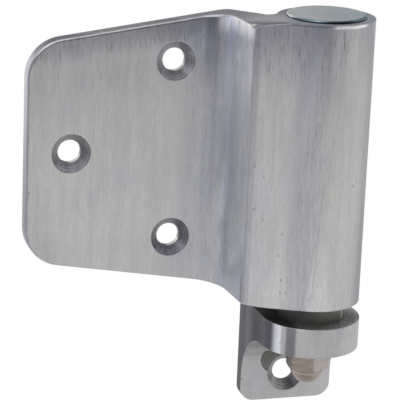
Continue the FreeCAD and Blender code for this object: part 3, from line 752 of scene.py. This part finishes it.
@dataclass(frozen=True)
class PlatedSheet(Finish):
    """Bright zinc plate on drawn sheet, with a faint spangle, edges rubbed bright with wear and a painted
    highlight, and painted shade on its rim.
    """

    bump_strength: float = 0.12
    bump_mm: float = 0.04
    spangle: float = 2.2
    rim_shade_tint: Colour = (0.15, 0.19, 0.21)
    scratch_share: float = 0.25
    scratch_light: float = 1.35
    edge_share: float = 0.25
    edge_light: float = 1.2

    def build(self) -> Material:
        """Builds the material.

        Returns:
            The finished material.
        """
        material, bench, shader = self.start()
        mottle = bench.group(Effect.MOTTLE, Cloud_Size=self.spangle, Grain_Size=0.25)
        wear_and_highlight = bench.group(Effect.WEAR_AND_HIGHLIGHT, Reach=0.0004, Gain=2.0)
        scratch = bench.group(Effect.SCRATCH, Stretch=(0.3, 1.8, 0.5), Amount=0.35)
        colour = bench.mix(mottle["Cloud"], self.lit(0.86), self.lit(1.12))
        colour = bench.tint(scratch["Mask"], self.scratch_share, colour, self.lit(self.scratch_light))
        # Edges rubbed bright with wear and a painted highlight
        colour = bench.tint(wear_and_highlight["Mask"], self.edge_share, colour, self.lit(self.edge_light))
        rough = self.uneven(bench, mottle["Cloud"])
        colour, rough = self.tone(bench, colour, rough)
        # Painted shade on the rim where it turns from the top towards the front
        top = bench.group(Effect.FACING, Start=0.90, Full=0.995)["Mask"]
        front = bench.group(Effect.FACING, Direction=FRONT, Start=0.05, Full=0.35)["Mask"]
        rim_shade_mask = bench.math("MULTIPLY", bench.math("SUBTRACT", 1.0, top), front)
        colour = bench.mix(rim_shade_mask, colour, self.rim_shade_tint, "MULTIPLY")
        self.end(bench, shader, colour, rough, mottle["Grain"])
        return material


@dataclass(frozen=True)
class TurnedMetal(Finish):
    """Turned or drawn bar: fine lines round the axis, scratches, and edges rubbed bright with wear and a
    painted highlight.
    """

    roughness_swing: float = 0.08
    line_scale: float = 5.0
    tarnish: Colour = (0.24, 0.18, 0.15)
    tarnish_share: float = 0.35
    stain_share: float = 0.7
    scratch_share: float = 0.45
    scratch_light: float = 1.5
    edge_share: float = 0.55
    edge_light: float = 1.55

    def build(self, stains: Iterable[Pit] = ()) -> Material:
        """Builds the material.

        Args:
            stains: Places where the metal is stained.

        Returns:
            The finished material.
        """
        material, bench, shader = self.start()
        lines = bench.group(Effect.BRUSH, Fine=(0.06, 0.06, self.line_scale), Medium=(0.3, 0.3, 1.1),
                            Coarse=(0.2, 0.2, 0.5))
        mottle = bench.group(Effect.MOTTLE, Cloud_Size=3.0, Grain_Size=0.3)
        scratch = bench.group(Effect.SCRATCH, Stretch=(1.4, 1.4, 0.35), Amount=0.45)
        wear_and_highlight = bench.group(Effect.WEAR_AND_HIGHLIGHT, Reach=0.0004, Gain=2.6)
        metal = bench.tint(mottle["Cloud"], self.tarnish_share, self.colour, self.tarnish)
        shade = bench.spread(lines["Streak"], 0.0, 1.0, 0.84, 1.14)
        colour = bench.mix(1.0, metal, shade, "MULTIPLY")
        colour = bench.tint(scratch["Mask"], self.scratch_share, colour, self.lit(self.scratch_light))
        # Edges rubbed bright with wear and a painted highlight
        colour = bench.tint(wear_and_highlight["Mask"], self.edge_share, colour, self.lit(self.edge_light))
        rough = self.uneven(bench, lines["Streak"])
        colour, rough = self.tone(bench, colour, rough)
        for stain in stains:
            colour = bench.tint(stain.mask(bench), self.stain_share, colour, self.tarnish)
        self.end(bench, shader, colour, rough, lines["Height"])
        return material


@dataclass(frozen=True)
class MouldedNylon(Finish):
    """Dark moulded nylon with a greased sheen and a fine moulded grain."""

    metallic: float = 0.0
    roughness_swing: float = 0.1
    bump_strength: float = 0.2
    worn: Colour = (0.17, 0.17, 0.15)
    scratch_share: float = 0.35
    edge_share: float = 0.5

    def build(self) -> Material:
        """Builds the material.

        Returns:
            The finished material.
        """
        material, bench, shader = self.start()
        mottle = bench.group(Effect.MOTTLE, Cloud_Size=4.0, Grain_Size=0.35)
        wear_and_highlight = bench.group(Effect.WEAR_AND_HIGHLIGHT, Reach=0.0005, Gain=2.0)
        scratch = bench.group(Effect.SCRATCH, Stretch=(0.2, 0.2, 2.0), Amount=0.4)
        colour = bench.mix(mottle["Cloud"], self.lit(0.7), self.lit(1.3))
        colour = bench.tint(scratch["Mask"], self.scratch_share, colour, self.worn)
        colour = bench.tint(wear_and_highlight["Mask"], self.edge_share, colour, self.worn)
        rough = self.uneven(bench, mottle["Cloud"])
        colour, rough = self.tone(bench, colour, rough)
        self.end(bench, shader, colour, rough, mottle["Grain"])
        return material


@dataclass(frozen=True)
class PhotoCamera:
    """The photograph's camera, in metres of the hinge's frame."""

    place: Point = (-0.21348, -0.60651, 0.21626)
    target: Point = (-0.03701, -0.0209, 0.03833)
    roll: float = 2.31
    lens: float = 191.08
    sensor: float = 36.0

    def turn(self) -> Quaternion:
        """Gives the camera's rotation.

        Returns:
            The rotation from Blender's own camera direction.
        """
        ahead = Vector(self.target) - Vector(self.place)
        return ahead.to_track_quat("-Z", "Y") @ Quaternion(UP, math.radians(self.roll))

    def build(self) -> None:
        """Makes the camera and gives it to the scene."""
        data = bpy.data.cameras.new("photo_camera")
        data.lens = self.lens
        data.sensor_width = self.sensor
        camera = bpy.data.objects.new("photo_camera", data)
        camera.location = self.place
        camera.rotation_mode = "QUATERNION"
        camera.rotation_quaternion = self.turn()
        bpy.context.scene.collection.objects.link(camera)
        bpy.context.scene.camera = camera

    def pits(self, node: str, pixels: Iterable[Pixel], radii: Iterable[float],
             length: float = 1.6) -> Sequence[Pit]:
        """Places the pits or stains that the photograph shows on a piece.

        Args:
            node: Name of the piece.
            pixels: Pixel of each, counted from the photograph's top left corner.
            radii: Radii in millimetres, used in turn.
            length: Height of each, against its width.

        Returns:
            Those whose pixels lie on the piece.
        """
        half = PHOTO_PIXELS / 2
        step = self.sensor / self.lens / PHOTO_PIXELS
        found = []
        for (across, down), radius in zip(pixels, cycle(radii)):
            aim = Vector(((across - half) * step, (half - down) * step, -1.0))
            aim.rotate(self.turn())
            hit, place, _, _ = frame["nodes"][node].ray_cast(Vector(self.place), aim.normalized())
            if hit:
                found.append(Pit(tuple(place * MM_PER_M), radius, length))
        return found


def screw_sinks(mounts: Sequence[str], radius: float, front: float) -> Sequence[ScrewSink]:
    """Takes screw holes from the record's mounts.

    Args:
        mounts: Names of the mounts, each a pair of holes or a single one.
        radius: Radius of the countersinks.
        front: Place along y of the face that they are sunk into.

    Returns:
        One entry for each hole, the lower one of a pair first.
    """
    sinks = []
    for mount in frame["record"]["mounts"]:
        if mount["name"] in mounts:
            dims = mount["dims"]
            # A single hole has no spacing, so its two steps are one
            half = dims.get("spacing_y_mm", 0.0) / 2
            bore = dims.get("hole_r_mm") or dims["r_mm"]
            x, y, z = (value * MM_PER_M for value in mount["pos_m"])
            sinks += [ScrewSink((x, y, z + step), radius, bore, front) for step in sorted({-half, half})]
    return sinks


@dataclass
class Assembly:
    """Pieces of the hinge that share one finish."""

    nodes: Tuple[str, ...]
    finish: Any

    def details(self, camera: PhotoCamera) -> Tuple[Any, ...]:
        """Finds what the finish shows besides its own skin, here nothing.

        Args:
            camera: The photograph's camera.

        Returns:
            What the finish's build takes.
        """
        return ()

    def dress(self, camera: PhotoCamera) -> None:
        """Gives the pieces their finish.

        Args:
            camera: The photograph's camera.
        """
        material = self.finish.build(*self.details(camera))
        for name in self.nodes:
            for slot in frame["nodes"][name].material_slots:
                slot.material = material
            LOG.info("%s: %s", name, material.name)


# Painted shade: darker towards the top, most of all along the leaf's top edge and near the bend, with dark
# brush strokes in places
LEAF_ZONES = (
    Zone(WHITE, strokes=0.12),
    Zone((0.90, 0.90, 0.92), TAPER, low=72.0, fade=22.0, ragged=18.0, strokes=0.65),
    Zone((0.68, 0.685, 0.71), (-0.144, 0.5, 1.0), low=85.0, fade=6.0, ragged=7.0, facing=FRONT,
         strokes=0.5),
    Zone((0.80, 0.80, 0.83), (0.8, 2.5, 1.0), low=30.0, fade=11.0, ragged=9.0, facing=FRONT, strokes=0.5),
    Zone((0.93, 0.94, 0.97), X, low=-44.0, high=-27.0, fade=8.0, ragged=6.0),
    Zone((0.80, 0.81, 0.85), Y, low=-17.0, fade=3.0, facing=(-0.7, -0.7, 0.0), strokes=0.3),
    Zone((0.78, 0.78, 0.82), (0.0, 0.5, 1.0), low=64.0, fade=14.0, ragged=12.0, facing=(-0.7, -0.7, 0.0),
         strokes=0.4),
    Zone((0.80, 0.80, 0.81), (0.0, 4.0, 1.0), low=0.0, fade=16.0, facing=(-0.72, -0.69, 0.0),
         turn=(0.90, 0.98)),
    Zone((0.92, 0.92, 0.92), (0.0, -0.6, 1.0), high=30.0, fade=10.0, facing=FRONT),
    Zone((0.90, 0.90, 0.91), (1.0, 0.0, 0.25), high=-70.0, fade=8.0, facing=FRONT),
)
# Painted light and shade on the face beside the barrel and on the barrel from left to right, with a painted
# highlight and painted shade along its top edge
BARREL_ZONES = (
    Zone((0.86, 0.86, 0.90), (0.0, -0.5, 1.0), low=86.0, fade=16.0, ragged=22.0,
         facing=(-0.45, -0.89, 0.0), strokes=0.95),
    Zone((0.90, 0.90, 0.92), low=8.0, fade=30.0, facing=(-0.43, -0.90, 0.0), turn=(0.93, 0.99)),
    Zone((0.84, 0.85, 0.91), X, low=-14.0, high=-3.0, fade=4.0, ragged=4.0,
         facing=(-0.35, -0.94, 0.0), strokes=0.4),
    Zone((1.20, 1.20, 1.22), low=70.0, fade=16.0, facing=(0.10, -0.995, 0.0), turn=(0.93, 0.985)),
    Zone((1.09, 1.09, 1.10), high=30.0, fade=20.0, facing=(-0.2, -0.98, 0.0), turn=(0.96, 0.995)),
    Zone((0.94, 0.94, 0.94), high=30.0, fade=20.0, facing=(0.4, -0.92, 0.0), turn=(0.93, 0.99)),
    Zone((0.84, 0.84, 0.85), facing=(0.82, -0.57, 0.0), turn=(0.88, 0.98)),
    Zone((0.76, 0.76, 0.79), facing=RIGHT_SIDE, turn=(0.80, 0.99)),
    Zone((0.82, 0.82, 0.84), high=50.0, fade=30.0, facing=RIGHT_SIDE, turn=(0.75, 0.97)),
    Zone((1.25, 1.25, 1.26), low=78.0, fade=10.0, facing=RIGHT_SIDE, turn=(0.93, 0.99)),
    Zone((0.86, 0.86, 0.88), low=74.0, fade=14.0, facing=(0.56, -0.83, 0.0), turn=(0.96, 0.995)),
    Zone((2.5, 2.5, 2.5), low=92.6, fade=0.5, facing=(0.2, -0.98, 0.0), turn=(0.88, 0.98)),
    Zone((0.52, 0.52, 0.55), low=92.9, fade=0.5, facing=(-0.45, -0.89, 0.0), turn=(0.88, 0.98)),
    Zone((0.42, 0.42, 0.44), Y, high=-24.5, fade=1.0, facing=(-0.40, -0.66, 0.64), turn=(0.86, 0.96)),
)
# Painted light and shade on the web's left face, its corner and the leaf's end
WEB_ZONES = (
    Zone((1.08, 1.11, 1.19), facing=LEFT, strokes=0.3),
    Zone((1.16, 1.15, 1.13), low=44.0, fade=24.0, facing=LEFT),
    Zone((1.14, 1.14, 1.13), low=68.0, fade=12.0, facing=LEFT),
    Zone((1.14, 1.15, 1.18), low=62.0, fade=14.0, facing=(-0.93, -0.36, 0.0), turn=(0.92, 0.99)),
    Zone((1.12, 1.12, 1.14), low=70.0, fade=10.0, facing=(-0.83, -0.56, 0.0), turn=(0.94, 0.985)),
    Zone((1.13, 1.13, 1.13), high=40.0, fade=24.0, facing=LEFT),
    Zone((0.78, 0.78, 0.81), high=20.0, fade=9.0, ragged=6.0, facing=(-0.97, -0.24, 0.0), turn=(0.85, 0.97)),
    Zone((1.18, 1.18, 1.17), low=24.0, high=52.0, fade=9.0, facing=(-0.93, -0.36, 0.0), turn=(0.95, 0.99)),
    Zone((0.66, 0.66, 0.68), (0.0, 1.0, 1.0), high=1.0, fade=8.0, facing=LEFT),
    Zone((1.22, 1.20, 1.17), TAPER, low=89.6, fade=5.5, ragged=2.0,
         facing=(-0.95, -0.31, 0.0), turn=(0.76, 0.86), dull=0.85),
    Zone((1.55, 1.54, 1.50), TAPER, low=88.8, fade=5.5, ragged=2.0,
         facing=(-0.75, -0.66, 0.0), turn=(0.955, 0.985)),
    Zone((0.74, 0.74, 0.76), Y, high=-19.0, fade=4.0, facing=(-0.78, -0.63, 0.0), turn=(0.93, 0.99)),
    Zone((0.82, 0.82, 0.84), Y, high=-19.0, fade=4.0, facing=(-0.93, -0.37, 0.0), turn=(0.965, 0.99)),
    Zone((0.80, 0.80, 0.83), (1.0, 0.9, 0.0), high=-46.0, fade=0.5, facing=(-0.5, -0.86, 0.0),
         turn=(0.90, 0.97)),
    Zone((0.55, 0.55, 0.56), (1.0, 0.0, 0.3), high=-64.0, fade=16.0, facing=LEFT),
    Zone((0.80, 0.80, 0.82), X, high=-70.0, fade=8.0, facing=(-0.9, 0.0, 0.44)),
)
# Top faces, rougher and gritty: painted shade on them, painted light along the leaf and more painted shade
# round the plug
TOP_ZONES = (
    Zone((0.84, 0.85, 0.90), facing=UP, extra_roughness=0.10, grit=0.08),
    Zone((1.28, 1.27, 1.24), X, high=-34.0, fade=20.0, facing=UP),
    Zone((0.82, 0.84, 0.87), X, low=-16.0, fade=6.0, facing=UP),
    Zone((0.66, 0.66, 0.68), (-0.7, -0.7, 0.0), low=29.0, fade=3.0, facing=UP),
    Zone((0.66, 0.66, 0.69), (-0.44, -0.90, 0.0), low=32.4, fade=0.8, facing=UP),
)


@dataclass
class DoorStrap(Assembly):
    """The cast strap: leaf, web and barrel in one piece."""

    nodes: Tuple[str, ...] = ("door_strap",)
    screw_mounts: Tuple[str, ...] = ("door_screw_pair", "door_end_screw")
    hole_radius: float = 6.1
    leaf_front: float = -4.76
    pit_radii: Tuple[float, ...] = (0.42, 0.34, 0.48, 0.38)
    pit_pixels: Tuple[Pixel, ...] = (
        (255, 166), (264, 177), (254, 209), (263, 220), (282, 234), (279, 256), (281, 280), (280, 293),
        (286, 293), (357, 183), (353, 186), (300, 310), (29, 193),
    )
    finish: BrushedCasting = BrushedCasting(
        "brushed_strap", (0.558, 0.552, 0.546), 0.42,
        zones=LEAF_ZONES + BARREL_ZONES + WEB_ZONES + TOP_ZONES)

    def details(self, camera: PhotoCamera) -> Tuple[Any, ...]:
        """Finds the strap's holes and casting pits.

        Args:
            camera: The photograph's camera, which places the pits.

        Returns:
            The holes and the pits.
        """
        sinks = screw_sinks(self.screw_mounts, self.hole_radius, self.leaf_front)
        return sinks, camera.pits(self.nodes[0], self.pit_pixels, self.pit_radii)


# Bracket, with painted light and shade: plate, lug, lug's top, which is also rough and gritty, and the left
# side, which stands in shade, with a painted highlight and a dark painted reflection band on the lug's left
BRACKET_ZONES = (
    Zone((0.80, 0.80, 0.82), Y, low=-7.0, fade=2.0, extra_roughness=0.05),
    Zone((0.76, 0.76, 0.78), Y, high=-18.0, fade=6.0),
    Zone((1.0, 1.0, 1.02), high=10.0, fade=2.0, facing=UP, extra_roughness=0.20, grit=0.55),
    Zone((0.38, 0.38, 0.39), (1.0, 0.0, 1.0), high=-6.0, fade=4.0, facing=UP),
    Zone((0.88, 0.88, 0.89), (1.0, 0.0, -1.0), low=7.0, fade=4.0, facing=UP),
    Zone((0.95, 0.95, 0.97), low=10.0, fade=2.0, facing=UP, extra_roughness=0.10, grit=0.06),
    Zone((0.48, 0.49, 0.53), facing=LEFT, strokes=0.6),
    Zone((0.38, 0.38, 0.42), X, high=-13.8, fade=0.7, facing=LEFT),
    Zone((0.24, 0.24, 0.26), Y, low=-23.0, high=-9.0, fade=4.0, ragged=5.0, facing=LEFT, strokes=0.35),
    Zone((2.2, 2.2, 2.23), X, low=-14.2, high=-11.9, fade=0.8, facing=(-0.85, -0.53, 0.0)),
    Zone((0.44, 0.44, 0.47), X, low=-11.7, high=-8.2, fade=1.0, facing=(-0.80, -0.60, 0.0)),
    Zone((1.12, 1.12, 1.13), X, low=2.0, fade=8.0, facing=(0.4, -0.92, 0.0)),
    Zone((0.66, 0.66, 0.67), facing=(0.0, -0.76, -0.65), turn=(0.95, 0.985)),
)


@dataclass
class JambBracket(Assembly):
    """The cast bracket: jamb plate and lug."""

    nodes: Tuple[str, ...] = ("jamb_bracket",)
    screw_mounts: Tuple[str, ...] = ("jamb_screws",)
    hole_radius: float = 6.1
    # Patch of painted shade in the recess beside the lower hole: its radius, its shift from the hole and its
    # depth behind the plate's front
    recess_radius: float = 6.1
    recess_shift: Point = (-2.8, 0.0, 5.7)
    recess_lip: float = 2.6
    plate_front: float = -4.0
    pit_radii: Tuple[float, ...] = (0.40, 0.34, 0.36)
    pit_pixels: Tuple[Pixel, ...] = ((242, 379), (350, 335), (280, 343))
    finish: BrushedCasting = BrushedCasting(
        "brushed_bracket", (0.57, 0.565, 0.56), 0.40, zones=BRACKET_ZONES, stretches=(2.0, 2.5, 3.0),
        contrast=0.10, cone_tones=((0.20, 0.20, 0.21), (0.60, 0.60, 0.61)), cone_shade_and_highlights=CONE_GLINTS,
        bore_tones=(0.25, 0.25))

    def details(self, camera: PhotoCamera) -> Tuple[Any, ...]:
        """Finds the bracket's holes, casting pits and the painted shade in the recess beside the lower hole.

        Args:
            camera: The photograph's camera, which places the pits.

        Returns:
            The holes, the pits and the painted shade in the recess beside the lower hole.
        """
        sinks = screw_sinks(self.screw_mounts, self.hole_radius, self.plate_front)
        beside = tuple(at + shift for at, shift in zip(sinks[0].centre, self.recess_shift))
        recess = RecessShade(beside, self.recess_radius, self.plate_front - self.recess_lip)
        return sinks, camera.pits(self.nodes[0], self.pit_pixels, self.pit_radii), [recess]


@dataclass
class BarrelPlug(Assembly):
    """The zinc plated plug that closes the barrel's top."""

    nodes: Tuple[str, ...] = ("barrel_plug",)
    finish: PlatedSheet = PlatedSheet("zinc_plug", (0.79, 0.86, 0.90), 0.30, zones=(
        # Painted light: warmer and lighter on the plug's left, cooler on its right, and a painted shadow
        # along its foot
        Zone((1.22, 1.16, 1.13), X, high=2.0, fade=12.0), Zone((0.92, 1.0, 1.03), X, low=-2.0, fade=12.0),
        Zone((0.12, 0.13, 0.14), high=94.15, fade=0.3),
    ))


@dataclass
class CapNut(Assembly):
    """The bronze cap nut under the lug, with a stain on its dome."""

    nodes: Tuple[str, ...] = ("cap_nut",)
    finish: TurnedMetal = TurnedMetal("satin_bronze", (0.38, 0.315, 0.28), 0.30, zones=(
        # Painted shade on the left facet and under the hexagon, painted light on the right facet
        Zone((0.82, 0.82, 0.83), facing=(-0.53, -0.85, 0.0)),
        Zone((1.08, 1.20, 1.28), facing=(0.47, -0.88, 0.0)),
        Zone((0.88, 0.87, 0.86), facing=(-0.2, -0.75, -0.63), turn=(0.80, 0.95)),
        # Dark line where the dome meets the hexagon, a painted highlight under it, and painted shade on the
        # crown
        Zone((0.50, 0.46, 0.42), low=-17.8, high=-17.1, fade=0.25),
        Zone((1.40, 1.40, 1.40), low=-18.5, high=-17.8, fade=0.25, facing=(-0.6, -0.8, 0.0)),
        Zone((0.70, 0.66, 0.64), high=-20.9, fade=0.9),
    ))
    stain_pixel: Pixel = (311, 371)
    stain_radius: float = 1.3
    stain_flatness: float = 0.35

    def details(self, camera: PhotoCamera) -> Tuple[Any, ...]:
        """Finds the nut's stain.

        Args:
            camera: The photograph's camera, which places the stain.

        Returns:
            A list with the stain.
        """
        return (camera.pits(self.nodes[0], [self.stain_pixel], [self.stain_radius], self.stain_flatness),)


@dataclass
class PinSet(Assembly):
    """The steel pin with its washer and its top nut."""

    nodes: Tuple[str, ...] = ("hinge_pin", "retaining_washer", "retaining_nut")
    finish: TurnedMetal = TurnedMetal("turned_steel", (0.42, 0.43, 0.45), 0.34, tarnish=(0.22, 0.22, 0.23))


@dataclass
class CamSet(Assembly):
    """The two helical cams and the guide bush, moulded in dark nylon."""

    nodes: Tuple[str, ...] = ("lower_cam", "upper_cam", "upper_bush")
    finish: MouldedNylon = MouldedNylon("moulded_nylon", (0.043, 0.044, 0.038), 0.38, zones=(
        # Painted highlights on the cams' right side and front, and painted shade on their left
        Zone((5.0, 5.0, 4.8), facing=(0.95, -0.31, 0.0), turn=(0.90, 0.99)),
        Zone((3.6, 3.6, 3.4), facing=(0.60, -0.80, 0.0), turn=(0.45, 1.0)),
        Zone((0.55, 0.55, 0.55), facing=(-0.85, -0.53, 0.0), turn=(0.80, 0.98)),
    ))


@dataclass(frozen=True)
class Card:
    """A flat grey card beside the hinge, which only its reflections show."""

    name: str
    centre: Point
    aim: Point
    width: float
    height: float
    grey: float


@dataclass
class Studio:
    """Pale floor, white surroundings, grey cards and a soft lamp."""

    floor_drop: float = 0.30
    floor_side: float = 1.2
    floor_grey: float = 0.82
    white_share: float = 0.8
    ambient: float = 0.75
    centre: Point = (-0.035, -0.02, 0.03)
    cards: Tuple[Card, ...] = (
        Card("front_flag", (0.10, -0.46, 0.24), (-0.03, -0.02, 0.10), 1.1, 0.52, 0.08),
        Card("back_card", (0.12, 0.45, 0.30), (0.0, -0.02, 0.06), 0.9, 0.40, 0.42),
    )
    lamp_place: Point = (-0.5, -0.6, 0.7)
    lamp_aim: Point = (-0.03, -0.02, 0.03)
    lamp_side: float = 0.5
    lamp_watts: float = 4.0

    def build(self) -> None:
        """Makes the world, the floor, the cards and the lamp."""
        bpy.context.scene.view_settings.view_transform = "Standard"
        self.make_world()
        self.make_floor()
        for card in self.cards:
            self.make_card(card)
        self.make_lamp()

    @staticmethod
    def seen_directly(bench: NodeBench) -> NodeSocket:
        """Gives 1 for rays that show the background itself, in a reflection too.

        Args:
            bench: Bench of the material or the world.

        Returns:
            The mask socket.
        """
        path = bench.add("LightPath")
        seen = bench.math("MAXIMUM", path.outputs["Is Camera Ray"], path.outputs["Is Glossy Ray"])
        return bench.math("MAXIMUM", seen, path.outputs["Is Transmission Ray"])

    def make_world(self) -> None:
        """Surrounds the hinge with white, which lights it at the studio's level."""
        world = bpy.data.worlds.new("white_surround")
        world.use_nodes = True
        bench = NodeBench(world.node_tree)
        bench.tree.nodes.clear()
        light = bench.add("Background", {"Color": WHITE, "Strength": self.ambient})
        white = bench.add("Background", {"Color": WHITE, "Strength": 1.0})
        seen = self.seen_directly(bench)
        both = bench.add("MixShader", {0: seen, 1: light.outputs[0], 2: white.outputs[0]})
        bench.add("OutputWorld", {"Surface": both.outputs[0]})
        bpy.context.scene.world = world

    def make_floor(self) -> None:
        """Lays a pale floor under the hinge, which keeps the hinge's shadow."""
        x, y, _ = self.centre
        level = CAD_BOX[0].z - self.floor_drop
        place = Matrix.Translation((x, y, level))
        _, bench = self.make_sheet("pale_floor", place, self.floor_side, self.floor_side)
        paint = bench.add("BsdfDiffuse", {"Color": (self.floor_grey,) * 3})
        white = bench.add("Emission", {"Color": WHITE, "Strength": 1.0})
        share = bench.math("MULTIPLY", self.seen_directly(bench), self.white_share)
        both = bench.add("MixShader", {0: share, 1: paint.outputs[0], 2: white.outputs[0]})
        bench.add("OutputMaterial", {"Surface": both.outputs[0]})

    def make_card(self, card: Card) -> None:
        """Stands a grey card beside the hinge.

        Args:
            card: The card's place and shade.
        """
        facing = (Vector(card.aim) - Vector(card.centre)).to_track_quat("Z", "Y").to_matrix().to_4x4()
        place = Matrix.Translation(card.centre) @ facing
        sheet, bench = self.make_sheet(card.name, place, card.width, card.height)
        sheet.visible_camera = False
        paint = bench.add("BsdfDiffuse", {"Color": (card.grey,) * 3})
        bench.add("OutputMaterial", {"Surface": paint.outputs[0]})

    @staticmethod
    def make_sheet(name: str, place: Matrix, width: float, height: float) -> Tuple[Object, NodeBench]:
        """Makes a flat sheet that isn't part of the hinge, with an empty material.

        Args:
            name: Name of the sheet.
            place: Its place and turn.
            width: Size along its own x.
            height: Size along its own y.

        Returns:
            The sheet and its material's bench.
        """
        corners = [(sx * width / 2, sy * height / 2, 0.0) for sx, sy in ((-1, -1), (1, -1), (1, 1), (-1, 1))]
        mesh = bpy.data.meshes.new(name)
        mesh.from_pydata(corners, [], [(0, 1, 2, 3)])
        material = bpy.data.materials.new(name)
        material.use_nodes = True
        material.node_tree.nodes.clear()
        mesh.materials.append(material)
        sheet = bpy.data.objects.new(name, mesh)
        sheet.matrix_world = place
        bpy.context.scene.collection.objects.link(sheet)
        return sheet, NodeBench(material.node_tree)

    def make_lamp(self) -> None:
        """Hangs the square soft lamp."""
        data = bpy.data.lights.new("key_lamp", "AREA")
        data.shape = "SQUARE"
        data.size = self.lamp_side
        data.energy = self.lamp_watts
        lamp = bpy.data.objects.new("key_lamp", data)
        lamp.location = self.lamp_place
        lamp.rotation_mode = "QUATERNION"
        lamp.rotation_quaternion = (Vector(self.lamp_aim) - Vector(self.lamp_place)).to_track_quat("-Z", "Y")
        bpy.context.scene.collection.objects.link(lamp)


def main() -> None:
    """Dresses the hinge piece by piece and sets up the studio."""
    logging.basicConfig(level=logging.INFO, format="%(name)s: %(message)s")
    camera = PhotoCamera()
    camera.build()
    make_effects()
    for assembly in (DoorStrap(), JambBracket(), BarrelPlug(), CapNut(), PinSet(), CamSet()):
        assembly.dress(camera)
    Studio().build()


if __name__ == "__main__":
    main()
